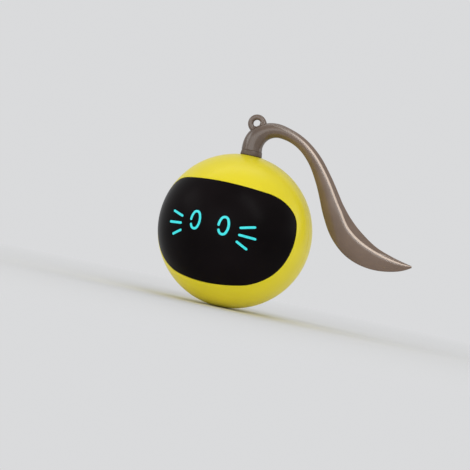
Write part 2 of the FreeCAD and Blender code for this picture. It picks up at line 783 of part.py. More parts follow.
def main_frame():
    """One moulding: two bearing plates, the battery tray, a top bridge and four screw ears."""
    left, right = ("-plate_left_outer", "-plate_left_inner"), ("plate_right_inner", "plate_right_outer")
    across = ("-plate_left_outer", "plate_left_outer")
    depth = ("-bridge_half_depth", "bridge_half_depth")
    solids = [
        rounded_plate("left_plate", FRAME_OUTLINE, "plate_corner", *left),
        rounded_plate("right_plate", FRAME_OUTLINE, "plate_corner", *right),
        block("bridge", across, depth, ("bridge_bottom", "bridge_top")),
        block("left_tab", left, depth, ("tab_bottom", "bridge_top")),
        block("right_tab", right, depth, ("tab_bottom", "bridge_top")),
        block("tray", across, ("-tray_half_depth", "tray_half_depth"), ("-tray_bottom", "overlap - tray_top")),
    ]
    for side, sign in (("left", "-"), ("right", "")):
        low, high = sorted((f"{sign}ear_inner", f"{sign}ear_outer"), key=value_of)
        solids.append(block(f"ear_{side}", (low, high), depth, ("-ball_radius", "-tray_top")))
        low, high = sorted((f"{sign}tray_wall_inner", f"{sign}tray_wall_outer"), key=value_of)
        solids.append(block(f"tray_wall_{side}", (low, high),
                            ("tray_wall_inset - tray_half_depth", "tray_half_depth - tray_wall_inset"),
                            ("-tray_wall_bottom", "-tray_top")))
    for number, (x, z) in enumerate(BOARD_POSTS):
        solids.append(rod(f"board_post_{number}", "Y", "post_radius", "board_post_root", "main_board_front",
                          (x, z)))
    for number, (x, z) in enumerate(DISPLAY_POSTS):
        solids.append(rod(f"display_post_{number}", "Y", "post_radius", "board_thickness - display_front",
                          "-display_post_root", (x, z)))
    for number, place in enumerate(COVER_POSTS):
        solids.append(rod(f"cover_post_{number}", "X", "cover_post_radius", "plate_right_inner", "cover_inner",
                          place))
    through_right = ("plate_right_inner - overcut", "plate_right_outer + overcut")
    through_left = ("-plate_left_outer - overcut", "-plate_left_inner + overcut")
    holes = [
        rod("bush_seat", "X", "axle_radius + bush_wall", *through_left, ("0", "0")),
        rod("axle_hole", "X", "axle_radius + axle_clearance", *through_right, ("0", "0")),
        rod("motor_nose_hole", "X", "motor_nose_radius + running_gap", *through_right, MOTOR),
    ]
    for name, pin in (("first", FIRST_PIN), ("second", SECOND_PIN)):
        holes.append(rod(f"{name}_pin_seat", "X", "pin_radius", *through_right, pin))
    for number, place in enumerate(motor_screw_places()):
        holes.append(rod(f"motor_screw_hole_{number}", "X", "motor_clear_radius", *through_right, place))
    pilot = "small_screw_radius"
    for number, place in enumerate(COVER_POSTS):
        holes.append(rod(f"cover_pilot_{number}", "X", pilot, "cover_inner - small_pilot_depth", "cover_outer",
                         place))
    for number, place in enumerate(BOARD_POSTS):
        holes.append(rod(f"board_pilot_{number}", "Y", pilot,
                         "main_board_front + board_thickness - small_pilot_depth",
                         "main_board_front + overcut", place))
    for number, place in enumerate(DISPLAY_POSTS):
        holes.append(rod(f"display_pilot_{number}", "Y", pilot, "-display_front",
                         "small_pilot_depth - display_front", place))
    for label, x, z in SCREWS:
        holes.append(rod(f"ear_hole_{label}", "Y", "screw_clear_radius", "-2 * bridge_half_depth",
                         "2 * bridge_half_depth", (x, z)))
    limit = sphere("frame_limit", "ball_radius - shell_wall - frame_gap")
    moulding = cut("frame_solid", fuse("frame_blank", *solids), *holes)
    return finish(common("main_frame", limit, moulding), "main_frame")


def motor_screw_places():
    """Two screws beside the motor's nose, square to the line to the first gear."""
    return [from_point(MOTOR, size("motor_screw_spread"), MOTOR_ANGLE + turn) for turn in (90, -90)]


def gear_cover():
    plate = rounded_plate("cover_plate", COVER_POSTS, "cover_corner", "cover_inner", "cover_outer")
    through = ("cover_inner - overcut", "cover_outer + overcut")
    holes = [rod("cover_bush_seat", "X", "axle_radius + bush_wall", *through, ("0", "0"))]
    for name, pin in (("first", FIRST_PIN), ("second", SECOND_PIN)):
        holes.append(rod(f"cover_{name}_pin", "X", "pin_radius", *through, pin))
    for number, place in enumerate(COVER_POSTS):
        holes.append(rod(f"cover_screw_hole_{number}", "X", "cover_clear_radius", *through, place))
    return finish(cut("gear_cover", plate, *holes), "gear_cover")


# Drive
def bush(name, inner_face, outer_face, sign):
    """Flanged plain bearing; the flange on the outer face of its plate faces the counterweight."""
    bore, seat = "axle_radius + running_gap", "axle_radius + bush_wall"
    flange, rim = "axle_radius + bush_flange_wall", f"{sign}({outer_face} + bush_flange_thickness)"
    inner, outer = f"{sign}({inner_face})", f"{sign}({outer_face})"
    profile = [(bore, inner), (seat, inner), (seat, outer), (flange, outer), (flange, rim), (bore, rim)]
    return finish(turned(name, profile, "X"), name)


PRESSURE_ANGLE = math.radians(20)


def involute(angle):
    return math.tan(angle) - angle


def gear_outline(teeth, shift, turn):
    """
    Outline of a spur gear across X, each flank an arc through three points of the involute.
    A positive shift thickens a small gear's teeth, and a wheel takes the same shift away.
    """
    module, pressure = size("module_size"), PRESSURE_ANGLE
    pitch = module * teeth / 2
    base = pitch * math.cos(pressure)
    tip = pitch + module * (size("gear_addendum") + shift)
    root = pitch - module * (size("gear_dedendum") - shift)
    thickness = module * (math.pi / 2 + 2 * shift * math.tan(pressure)) - size("gear_backlash") / 2
    start = max(base, root)

    def half_angle(radius):
        return thickness / (2 * pitch) + involute(pressure) - involute(math.acos(min(1.0, base / radius)))

    def at(radius, angle):
        return Vector(0, radius * math.cos(angle), radius * math.sin(angle))

    edges = []
    for tooth in range(teeth):
        middle = turn + 2 * math.pi * tooth / teeth
        rising = [at(radius, middle - half_angle(radius)) for radius in (start, (start + tip) / 2, tip)]
        falling = [at(radius, middle + half_angle(radius)) for radius in (tip, (start + tip) / 2, start)]
        foot, next_foot = at(root, middle + half_angle(start)), at(root, middle - half_angle(start))
        if start > root:
            edges.append(Part.LineSegment(next_foot, rising[0]).toShape())
        edges.append(Part.Arc(*rising).toShape())
        edges.append(Part.Arc(rising[2], at(tip, middle), falling[0]).toShape())
        edges.append(Part.Arc(*falling).toShape())
        if start > root:
            edges.append(Part.LineSegment(falling[2], foot).toShape())
        pitch_angle = 2 * math.pi / teeth
        next_start = at(root, middle + pitch_angle - half_angle(start))
        edges.append(Part.Arc(foot, at(root, middle + pitch_angle / 2), next_start).toShape())
    return Part.Face(Part.Wire(edges))


def layer(number):
    """Low and high X of one layer of the gear stack."""
    low = size("gear_stack_start") + number * (size("gear_width") + size("gear_layer_gap"))
    return low, low + size("gear_width")


def toothed(teeth, shift, turn, low, high):
    face = gear_outline(teeth, shift, turn)
    face.translate(Vector(low, 0, 0))
    return face.extrude(Vector(high - low, 0, 0))


def mesh_turn(centre, teeth, turn, other_centre, other_teeth):
    """Turn of the other gear, with a space of it where a tooth of this one points at it."""
    heading = math.atan2(other_centre[1] - centre[1], other_centre[0] - centre[0])
    step, other_step = 2 * math.pi / teeth, 2 * math.pi / other_teeth
    return heading + math.pi - other_step * (0.5 - (heading - turn) / step)


SHIFT = 0.4
OUTPUT_TURN = 0.0
SECOND_TURN = mesh_turn(AXLE, WHEEL_TEETH, OUTPUT_TURN, SECOND_PIN, SMALL_TEETH)
FIRST_TURN = mesh_turn(SECOND_PIN, WHEEL_TEETH, SECOND_TURN, FIRST_PIN, SMALL_TEETH)
MOTOR_TURN = mesh_turn(FIRST_PIN, WHEEL_TEETH, FIRST_TURN, MOTOR, MOTOR_TEETH)


def gear(name, centre, rings, bore):
    """A gear of one or two toothed rings on one bore; each ring is (teeth, shift, turn, layer)."""
    solid = None
    for teeth, shift, turn, (low, high) in rings:
        ring = toothed(teeth, shift, turn, low, high)
        solid = ring if solid is None else solid.fuse(ring)
    low, high = min(ring[3][0] for ring in rings), max(ring[3][1] for ring in rings)
    spare = size("overcut")
    hole = Part.makeCylinder(bore, high - low + 2 * spare, Vector(low - spare, 0, 0), Vector(1, 0, 0))
    feature = doc.addObject("Part::Feature", name)
    feature.Shape = solid.cut(hole).removeSplitter()
    return finish(feature, name, "0", str(centre[0]), str(centre[1]))


def stretched(number):
    """A pinion ring reaches back to the wheel that it is moulded with."""
    low, high = layer(number)
    return low - size("gear_layer_gap"), high


def gears():
    bore = size("pin_radius") + size("running_gap")
    gear("output_gear", AXLE, [(WHEEL_TEETH, -SHIFT, OUTPUT_TURN, layer(2))], size("axle_radius"))
    gear("second_gear", SECOND_PIN, [(WHEEL_TEETH, -SHIFT, SECOND_TURN, layer(1)),
                                     (SMALL_TEETH, SHIFT, SECOND_TURN, stretched(2))], bore)
    gear("first_gear", FIRST_PIN, [(WHEEL_TEETH, -SHIFT, FIRST_TURN, layer(0)),
                                   (SMALL_TEETH, SHIFT, FIRST_TURN, stretched(1))], bore)
    gear("motor_pinion", MOTOR, [(MOTOR_TEETH, SHIFT, MOTOR_TURN, layer(0))], size("motor_shaft_radius"))


def gear_pins():
    pins = [rod(f"{name}_pin", "X", "pin_radius", "plate_right_inner + pin_recess",
                "cover_outer - pin_recess", pin)
            for name, pin in (("first", FIRST_PIN), ("second", SECOND_PIN))]
    return finish(group("gear_pins", *pins), "gear_pins")


def cross_axle():
    axle = rod("axle_round", "X", "axle_radius", "-axle_half_length", "axle_half_length", ("0", "0"))
    past_left, past_right = "-axle_half_length - overcut", "axle_half_length + overcut"
    flats = [block(f"axle_flat_{side}", (low, high), ("-2 * axle_radius", "2 * axle_radius"),
                   ("axle_radius - axle_flat_depth", "axle_radius + overcut"))
             for side, low, high in (("left", past_left, "axle_flat_lead - weight_inner"),
                                     ("right", "weight_inner - axle_flat_lead", past_right))]
    threads = [rod(f"axle_thread_{side}", "X", "weight_screw_radius", low, high, ("0", "0"))
               for side, low, high in (("left", past_left, "axle_thread_depth - axle_half_length"),
                                       ("right", "axle_half_length - axle_thread_depth", past_right))]
    return finish(cut("cross_axle", axle, *flats, *threads), "cross_axle")


def counterweight(name, sign):
    """Half disc that hangs from a hub on the end of the axle, with a flat in its bore."""
    body = doc.addObject("PartDesign::Body", name)
    near = "weight_inner" if sign > 0 else "-(weight_inner + weight_thickness)"
    sketch = body_sketch(body, "YZ", f"{name}_half_disc", near)
    radius = size("weight_radius")
    low, drop = Vector(-radius, 0, 0), Vector(radius, 0, 0)
    circle = Part.Circle(Vector(0, 0, 0), Vector(0, 0, 1), radius)
    sketch.addGeometry(Part.ArcOfCircle(circle, math.pi, 2 * math.pi), False)
    sketch.addGeometry(Part.LineSegment(drop, low), False)
    sketch.addConstraint(Sketcher.Constraint("Coincident", 0, 2, 1, 1))
    sketch.addConstraint(Sketcher.Constraint("Coincident", 1, 2, 0, 1))
    sketch.addConstraint(Sketcher.Constraint("Coincident", 0, 3, -1, 1))
    sketch.addConstraint(Sketcher.Constraint("PointOnObject", 0, 1, -1))
    sketch.addConstraint(Sketcher.Constraint("PointOnObject", 0, 2, -1))
    index = sketch.addConstraint(Sketcher.Constraint("Radius", 0, radius))
    sketch.setExpression(f"Constraints[{index}]", express("weight_radius"))
    pad(body, sketch, "weight_thickness")
    hub = body_sketch(body, "YZ", f"{name}_hub", near)
    sketch_circle(hub, "0", "0", "weight_hub_radius")
    pad(body, hub, "weight_thickness")
    bore = body_sketch(body, "YZ", f"{name}_bore", f"{near} + weight_thickness")
    flat = size("axle_radius") - size("axle_flat_depth")
    half = math.sqrt(size("axle_radius") ** 2 - flat ** 2)
    circle = Part.Circle(Vector(0, 0, 0), Vector(0, 0, 1), size("axle_radius"))
    rise = math.atan2(flat, half)
    bore.addGeometry(Part.ArcOfCircle(circle, math.pi - rise, 2 * math.pi + rise), False)
    bore.addGeometry(Part.LineSegment(Vector(half, flat, 0), Vector(-half, flat, 0)), False)
    bore.addConstraint(Sketcher.Constraint("Coincident", 0, 2, 1, 1))
    bore.addConstraint(Sketcher.Constraint("Coincident", 1, 2, 0, 1))
    bore.addConstraint(Sketcher.Constraint("Coincident", 0, 3, -1, 1))
    bore.addConstraint(Sketcher.Constraint("Horizontal", 1))
    index = bore.addConstraint(Sketcher.Constraint("Radius", 0, size("axle_radius")))
    bore.setExpression(f"Constraints[{index}]", express("axle_radius"))
    index = bore.addConstraint(Sketcher.Constraint("DistanceY", -1, 1, 1, 1, flat))
    bore.setExpression(f"Constraints[{index}]", express("axle_radius - axle_flat_depth"))
    pocket(body, bore, "weight_thickness + overcut")
    return finish(body, name)


def screw(name, axis, sign, radius, head_radius, head_height, seat, length, at):
    """A pan-head screw; sign gives the side that the head faces along its axis."""
    seat, length = f"({seat})", f"({length})"
    if sign > 0:
        shank = rod(f"{name}_shank", axis, radius, f"{seat} - {length}", seat, at)
        head = rod(f"{name}_head", axis, head_radius, seat, f"{seat} + {head_height}", at)
    else:
        shank = rod(f"{name}_shank", axis, radius, seat, f"{seat} + {length}", at)
        head = rod(f"{name}_head", axis, head_radius, f"{seat} - {head_height}", seat, at)
    return fuse(name, shank, head)


def crossed(name, level, at):
    """Two crossing slots of a driver recess, sunk from a level along Y."""
    x, z = at
    long_x, long_z = [(f"{c} - recess_half_length", f"{c} + recess_half_length") for c in (x, z)]
    thin_x, thin_z = [(f"{c} - recess_half_width", f"{c} + recess_half_width") for c in (x, z)]
    depth = (f"{level} - recess_depth", f"{level} + overcut")
    return [block(f"{name}_flat", long_x, depth, thin_z), block(f"{name}_upright", thin_x, depth, long_z)]


def screws():
    heavy = ("weight_screw_radius", "weight_head_radius", "weight_head_height")
    weights = [screw(f"weight_screw_{side}", "X", sign, *heavy, end, "weight_screw_length", ("0", "0"))
               for side, sign, end in (("left", -1, "-axle_half_length"), ("right", 1, "axle_half_length"))]
    finish(group("counterweight_screws", *weights), "counterweight_screws")
    assembly = []
    for label, x, z in SCREWS:
        plain = screw(f"case_screw_{label}", "Y", 1, "screw_radius", "screw_head_radius", "screw_head_height",
                      "screw_seat", "screw_seat + screw_reach", (x, z))
        recess = crossed(f"case_recess_{label}", "screw_seat + screw_head_height", (x, z))
        assembly.append(cut(f"case_screw_{label}_driven", plain, *recess))
    finish(group("assembly_screws", *assembly), "assembly_screws")
    flat = ("small_screw_radius", "cover_head_radius", "cover_head_height")
    cover = [screw(f"cover_screw_{number}", "X", 1, *flat, "cover_outer", "cover_screw_length", post)
             for number, post in enumerate(COVER_POSTS)]
    finish(group("gear_cover_screws", *cover), "gear_cover_screws")
    small = ("small_screw_radius", "small_head_radius", "small_head_height")
    display = [screw(f"display_screw_{number}", "Y", -1, *small, "-display_front", "small_screw_length", post)
               for number, post in enumerate(DISPLAY_POSTS)]
    finish(group("display_screws", *display), "display_screws")
    board = [screw(f"board_screw_{number}", "Y", 1, *small, "main_board_front + board_thickness",
                   "small_screw_length", post) for number, post in enumerate(BOARD_POSTS)]
    finish(group("main_board_screws", *board), "main_board_screws")
    thin = ("motor_screw_radius", "motor_head_radius", "motor_head_height")
    reach = "plate_right_outer - motor_front + motor_screw_grip"
    motor_fixings = [screw(f"motor_screw_{number}", "X", 1, *thin, "plate_right_outer", reach, place)
                     for number, place in enumerate(motor_screw_places())]
    finish(group("motor_screws", *motor_fixings), "motor_screws")


# Motor
def motor():
    def flats(name, low, high):
        y, z = MOTOR
        return block(name, (low, high), (f"{y} - motor_radius", f"{y} + motor_radius"),
                     (f"{z} - motor_flat", f"{z} + motor_flat"))

    can = common("can_body", rod("can_round", "X", "motor_radius", "-motor_back", "motor_front", MOTOR),
                 flats("can_flats", "-motor_back", "motor_front"))
    bore_radius = "motor_shaft_radius + running_gap"
    nose = rod("motor_nose", "X", "motor_nose_radius", "motor_front - overlap",
               "motor_front + motor_nose_height", MOTOR)
    bore = rod("motor_bore", "X", bore_radius, "-motor_back - overcut", "motor_front + 2 * motor_nose_height",
               MOTOR)
    threads = [rod(f"motor_thread_{number}", "X", "motor_screw_radius", "motor_front - motor_thread_depth",
                   "motor_front + overcut", place)
               for number, place in enumerate(motor_screw_places())]
    finish(cut("motor_can", fuse("can_solid", can, nose), bore, *threads), "motor_can")
    cap_round = rod("cap_round", "X", "motor_radius - motor_cap_step", "-motor_cap_back", "-motor_back",
                    MOTOR)
    cap = common("cap_body", cap_round, flats("cap_flats", "-motor_cap_back", "-motor_back"))
    cap_bore = rod("cap_bore", "X", bore_radius, "-motor_cap_back - overcut", "0", MOTOR)
    terminals = []
    for side, sign in (("a", "-"), ("b", "+")):
        middle = f"{MOTOR[0]} {sign} terminal_spread"
        terminals.append(
            block(f"terminal_{side}", ("-motor_cap_back - terminal_lift", "overcut - motor_cap_back"),
                  (f"{middle} - terminal_half_width", f"{middle} + terminal_half_width"),
                  (f"{MOTOR[1]} - terminal_half_height", f"{MOTOR[1]} + terminal_half_height")))
    finish(fuse("motor_end_cap", cut("cap_solid", cap, cap_bore), *terminals), "motor_end_cap")
    shaft = rod("motor_shaft", "X", "motor_shaft_radius", "-motor_cap_back", layer(0)[1], MOTOR)
    finish(shaft, "motor_shaft", "-motor_cap_back", str(MOTOR[0]), str(MOTOR[1]))


# Power and electronics
def battery():
    body = doc.addObject("PartDesign::Body", "battery_cell")
    outline = body_sketch(body, "XY", "battery_outline", "-(battery_top + battery_thickness)")
    x, y = "battery_half_width", "battery_half_depth"
    sketch_geometry(outline, [(f"-{x}", f"-{y}"), (x, f"-{y}"), (x, y), (f"-{x}", y)])
    block_pad = pad(body, outline, "battery_thickness")
    doc.recompute()
    long_edges = [f"Edge{i + 1}" for i, edge in enumerate(block_pad.Shape.Edges)
                  if round(abs(edge.tangentAt(edge.FirstParameter).y)) == 1]
    rounding = body.newObject("PartDesign::Fillet", "battery_rounding")
    rounding.Base = (block_pad, long_edges)
    bind(rounding, Radius="battery_rounding")
    finish(body, "battery_cell")
    pad_body = doc.addObject("PartDesign::Body", "battery_pad")
    tape = body_sketch(pad_body, "XY", "tape_outline", "-battery_top")
    left, right = f"tape_margin - {x}", f"{x} - tape_margin"
    near, far = f"tape_margin - {y}", f"{y} - tape_margin"
    sketch_geometry(tape, [(left, near), (right, near), (right, far), (left, far)])
    pad(pad_body, tape, "battery_top - tray_bottom")
    finish(pad_body, "battery_pad")


def main_board():
    body = doc.addObject("PartDesign::Body", "main_board")
    sketch = body_sketch(body, "XZ", "main_board_outline", "-(main_board_front + board_thickness)")
    x, z = "main_board_half_width", "main_board_half_height"
    sketch_geometry(sketch, [(f"-{x}", f"-{z}"), (x, f"-{z}"), (x, z), (f"-{x}", z)])
    pad(body, sketch, "board_thickness")
    holes = body_sketch(body, "XZ", "main_board_holes", "-main_board_front")
    for place_x, place_z in BOARD_POSTS:
        sketch_circle(holes, place_x, place_z, "small_clear_radius")
    pocket(body, holes, "board_thickness + overcut")
    return finish(body, "main_board")


CHIPS = {
    "controller": (-8.0, 2.5, 5.0, 5.0, 0.9),
    "charger": (8.5, -6.0, 3.0, 3.0, 1.0),
    "driver": (8.5, 3.0, 4.0, 5.0, 1.2),
    "inductor": (8.5, -1.8, 3.0, 3.0, 1.4),
    "crystal": (-8.5, -3.0, 3.2, 1.5, 0.8),
    "capacitor_left": (-10.5, -7.0, 1.6, 0.8, 0.8),
    "capacitor_right": (-7.5, -7.0, 1.6, 0.8, 0.8),
}


def board_components():
    face = "main_board_front + board_thickness"
    chips = [block(f"chip_{name}", (x - width / 2, x + width / 2), (face, f"{face} + {height}"),
                   (z - depth / 2, z + depth / 2))
             for name, (x, z, width, depth, height) in CHIPS.items()]
    return finish(group("board_components", *chips), "board_components")


def usb_receptacle():
    """Upright metal sleeve with round ends, a plastic back and a contact tongue."""
    face = "main_board_front + board_thickness"
    level = "-usb_height"

    def stadium(name, radius, low, high):
        reach = "usb_half_width - usb_half_height"
        ends = [rod(f"{name}_{side}", "Y", radius, low, high, (f"{sign}({reach})", level))
                for side, sign in (("left", "-"), ("right", "+"))]
        middle = block(f"{name}_middle", (f"-({reach})", reach), (low, high),
                       (f"{level} - ({radius})", f"{level} + ({radius})"))
        return fuse(name, middle, *ends)

    sleeve = stadium("usb_sleeve", "usb_half_height", face, "usb_mouth")
    hollow = stadium("usb_hollow", "usb_half_height - usb_wall", f"{face} + usb_back", "usb_mouth + overcut")
    tongue = block("usb_tongue", ("-tongue_half_width", "tongue_half_width"),
                   (face, "usb_mouth - tongue_recess"),
                   (f"{level} - tongue_half_height", f"{level} + tongue_half_height"))
    return finish(fuse("usb_receptacle", cut("usb_shell", sleeve, hollow), tongue), "usb_receptacle")


def switch_and_button():
    face = "main_board_front + board_thickness"
    half = "switch_half_width"
    case = block("switch_block", (f"-{half}", half), (face, f"{face} + switch_depth"),
                 (f"button_height - {half}", f"button_height + {half}"))
    well = rod("switch_well", "Y", "plunger_radius + plunger_gap", f"{face} + switch_depth - plunger_well",
               f"{face} + switch_depth + overcut", ("0", "button_height"))
    finish(cut("tact_switch", case, well), "tact_switch")
    plunger_foot = f"{face} + switch_depth - plunger_sunk"
    plunger = rod("switch_plunger", "Y", "plunger_radius", plunger_foot, "button_base",
                  ("0", "button_height"))
    finish(plunger, "switch_plunger", "0", plunger_foot, "button_height")
    stem = common("button_stem", sphere("button_limit", "ball_radius"),
                  rod("button_round", "Y", "button_radius", "button_base", BEYOND, ("0", "button_height")))
    flange_foot = "button_base + button_flange_lift"
    flange = rod("button_flange", "Y", "button_flange_radius", flange_foot,
                 f"{flange_foot} + button_flange_thickness", ("0", "button_height"))
    finish(fuse("power_button", stem, flange), "power_button")


# Tail
def tail_collar():
    """Swivel collar trapped between the shells, with the barbed stud that holds the tail."""
    flange_top = "socket_bottom - neck_gap"
    stud_top = "collar_top + stud_length"
    profile = [
        ("0", f"{flange_top} - collar_flange_thickness"),
        ("collar_flange_radius", f"{flange_top} - collar_flange_thickness"),
        ("collar_flange_radius", flange_top),
        ("neck_radius", flange_top),
        ("neck_radius", "collar_bottom"),
        ("collar_bottom_radius", "collar_bottom"),
        ("collar_top_radius", "collar_top"),
        ("stud_radius", "collar_top"),
        ("stud_radius", f"{stud_top} - barb_foot"),
        ("stud_barb_radius", f"{stud_top} - barb_edge"),
        ("stud_radius - stud_point", stud_top),
        ("0", stud_top),
    ]
    round_collar = turned("tail_collar_round", profile)
    flat = block("stud_flat_tool", (NEAR, BEYOND), ("stud_flat", BEYOND),
                 ("collar_top", f"{stud_top} + overcut"))
    return finish(cut("tail_collar", round_collar, flat), "tail_collar")


# Spine of the tail as a straight stem and tangent arcs of (radius, turn in degrees)
SPINE_START = (-0.15, 33.85)
SPINE_STEM = 1.0
SPINE_ARCS = [(9.2, -100.0), (24.7, -33.0), (60.5, -22.0), (34.2, 77.0)]

# Sections along the tail: distance along the spine, width, thickness, how far the section
# has turned from round to leaf-shaped, where its crease stands on the outer half, and how
# far its middle stands outside the spine
SECTIONS = [
    (0.0, 8.6, 8.6, 0.0, 0.5, 0.0),
    (2.0, 8.45, 8.3, 0.0, 0.5, 0.12),
    (4.0, 8.4, 8.0, 0.0, 0.5, 0.25),
    (6.0, 8.2, 7.7, 0.0, 0.5, 0.32),
    (8.5, 7.5, 7.2, 0.0, 0.5, 0.2),
    (11.5, 6.7, 6.6, 0.05, 0.5, 0.1),
    (15.0, 5.9, 5.95, 0.2, 0.46, 0.05),
    (19.0, 5.25, 5.3, 0.45, 0.4, 0.15),
    (23.5, 5.0, 4.75, 0.75, 0.36, 0.36),
    (28.5, 5.1, 4.4, 1.0, 0.33, 0.52),
    (35.0, 5.7, 4.6, 1.0, 0.36, 0.64),
    (43.0, 6.75, 5.3, 1.0, 0.46, 0.24),
    (51.0, 8.1, 6.0, 1.0, 0.5, 0.12),
    (59.0, 9.7, 6.6, 1.0, 0.53, 0.48),
    (67.0, 11.2, 6.4, 1.0, 0.4, 0.25),
    (75.0, 11.4, 5.7, 1.0, 0.44, 0.05),
    (83.0, 9.5, 4.5, 1.0, 0.53, 0.12),
    (91.0, 6.5, 2.9, 1.0, 0.47, 0.5),
    (97.5, 3.0, 1.5, 1.0, 0.4, 0.57),
    (100.4, 0.8, 0.7, 1.0, 0.35, 0.6),
]


def spine_frame(distance):
    """Point and heading (in radians) at a distance along the spine."""
    x, z = SPINE_START
    heading = math.pi / 2
    z += min(distance, SPINE_STEM)
    left = max(distance - SPINE_STEM, 0)
    for number, (radius, degrees) in enumerate(SPINE_ARCS):
        sign = math.copysign(1, degrees)
        last = number == len(SPINE_ARCS) - 1
        part = left / radius if last else min(left / radius, math.radians(abs(degrees)))
        turned = heading + sign * part
        x += sign * radius * (math.sin(turned) - math.sin(heading))
        z -= sign * radius * (math.cos(turned) - math.cos(heading))
        heading, left = turned, left - part * radius
    return (x, z), heading


# Angle of each section point where the tail is round, in degrees from its outer tip
ROUND_ANGLES = {"nose": 150, "side": 105, "crease": 62, "facet": 40, "edge": 20}
# The same points where it is a leaf, as shares of half the width and half the thickness
LEAF_NOSE = (-0.86, 0.42)
LEAF_SIDE = (-0.25, 0.86)
LEAF_FACET_DEPTH = 0.42
# Half thickness of the leaf's outer edge, at most a share of half the width
EDGE_HALF = 0.45
EDGE_SHARE = 0.28
EDGE_INSET = 0.6


def tail_section(distance, width, thickness, leaf, crease, shift):
    """
    Closed outline square to the spine, in six arcs: a rounded inner edge, two broad sides
    up to the crease, two narrower facets beyond it and a thin rounded outer edge.
    """
    (x, z), heading = spine_frame(distance)
    outward = Vector(-math.sin(heading), 0, math.cos(heading))
    sideways = Vector(0, 1, 0)
    middle = Vector(x, 0, z) + outward * shift
    half, deep = width / 2, thickness / 2
    edge = min(EDGE_HALF, EDGE_SHARE * half)
    leaf_points = {
        "nose": (LEAF_NOSE[0] * half, LEAF_NOSE[1] * deep),
        "side": (LEAF_SIDE[0] * half, LEAF_SIDE[1] * deep),
        "crease": (crease * half, deep),
        "facet": ((crease + 1) / 2 * half, LEAF_FACET_DEPTH * deep + edge / 2),
        "edge": (half - EDGE_INSET * edge, edge),
    }

    def place(name, side):
        angle = math.radians(ROUND_ANGLES[name])
        round_out, round_deep = half * math.cos(angle), deep * math.sin(angle)
        leaf_out, leaf_deep = leaf_points[name]
        out = round_out + (leaf_out - round_out) * leaf
        across = round_deep + (leaf_deep - round_deep) * leaf
        return middle + outward * out + sideways * (across * side)

    inner_tip, outer_tip = middle - outward * half, middle + outward * half
    edges = [
        Part.Arc(place("nose", -1), inner_tip, place("nose", 1)),
        Part.Arc(place("nose", 1), place("side", 1), place("crease", 1)),
        Part.Arc(place("crease", 1), place("facet", 1), place("edge", 1)),
        Part.Arc(place("edge", 1), outer_tip, place("edge", -1)),
        Part.Arc(place("edge", -1), place("facet", -1), place("crease", -1)),
        Part.Arc(place("crease", -1), place("side", -1), place("nose", -1)),
    ]
    return Part.Wire([edge.toShape() for edge in edges])


def tail():
    """Soft tail: a loft along the spine, a hanging loop on top and a blind bore for the stud."""
    blade = Part.makeLoft([tail_section(*section) for section in SECTIONS], True, False)
    centre = Vector(size("loop_centre_x"), 0, size("loop_centre_z"))
    half, across = size("loop_thickness") / 2, Vector(0, 1, 0)
    loop = Part.makeCylinder(size("loop_outer_radius"), 2 * half, centre - across * half, across)
    round_edges = [edge for edge in loop.Edges if edge.Curve.TypeId == "Part::GeomCircle"]
    loop = loop.makeFillet(size("loop_rounding"), round_edges)
    hole = Part.makeCylinder(size("loop_hole_radius"), 4 * half, centre - across * 2 * half, across)
    # The stem's shoulder steps back round the hole, so the loop alone forms its wall
    relief = Part.makeCylinder(size("loop_hole_radius") + size("loop_relief"), 4 * half,
                               centre - across * 2 * half, across)
    solid = blade.cut(relief).fuse(loop).cut(hole)
    solid.rotate(Vector(0, 0, 0), Vector(0, 0, 1), size("tail_turn"))
    spare, top = size("overcut"), size("collar_top")
    bore_depth = size("stud_length") + size("bore_spare")
    bore_radius = size("stud_barb_radius") + size("bore_gap")
    bore = Part.makeCylinder(bore_radius, bore_depth + spare, Vector(0, 0, top - spare))
    flat = Part.makeBox(4 * bore_radius, 2 * bore_radius, bore_depth + 4 * spare,
                        Vector(-2 * bore_radius, size("stud_flat") + size("stud_gap"), top - 2 * spare))
    feature = doc.addObject("Part::Feature", "tail")
    feature.Shape = solid.cut(bore.cut(flat)).removeSplitter()
    return finish(feature, "tail")


blank, neck_hole, spotface = casing_blank()
front_shell(blank, neck_hole, spotface)
rear_shell(blank, neck_hole, spotface)
visor_lens()
light_guide()
light_baffle()
display_board()
display_leds()
main_frame()
gear_cover()
bush("axle_bush_left", "plate_left_inner", "plate_left_outer", "-")
bush("axle_bush_right", "cover_inner", "cover_outer", "")
gears()
gear_pins()
cross_axle()
counterweight("counterweight_left", -1)
counterweight("counterweight_right", 1)
screws()
motor()
battery()
main_board()
board_components()
usb_receptacle()
switch_and_button()
tail_collar()
tail()


# Checks and files
doc.recompute()
for obj in doc.Objects:
    if "Invalid" in obj.State or "Error" in obj.State:
        raise SystemExit(f"{obj.Name} failed: {obj.State}")
for obj in SUBPARTS:
    if obj.Shape.isNull() or not obj.Shape.isValid():
        raise SystemExit(f"{obj.Label} has a bad shape")
for obj in SUBPARTS:
    obj.Shape.exportStep(f"parts/{obj.Label}.step")
    box = obj.Shape.BoundBox
    print(f"{obj.Label}: {obj.Shape.Volume:.1f} mm3, {len(obj.Shape.Solids)} solid(s), "
          f"{box.XLength:.1f} x {box.YLength:.1f} x {box.ZLength:.1f}")
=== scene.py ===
import bmesh
import bpy
import numpy as np
from mathutils import Matrix, Vector
from mathutils.geometry import delaunay_2d_cdt


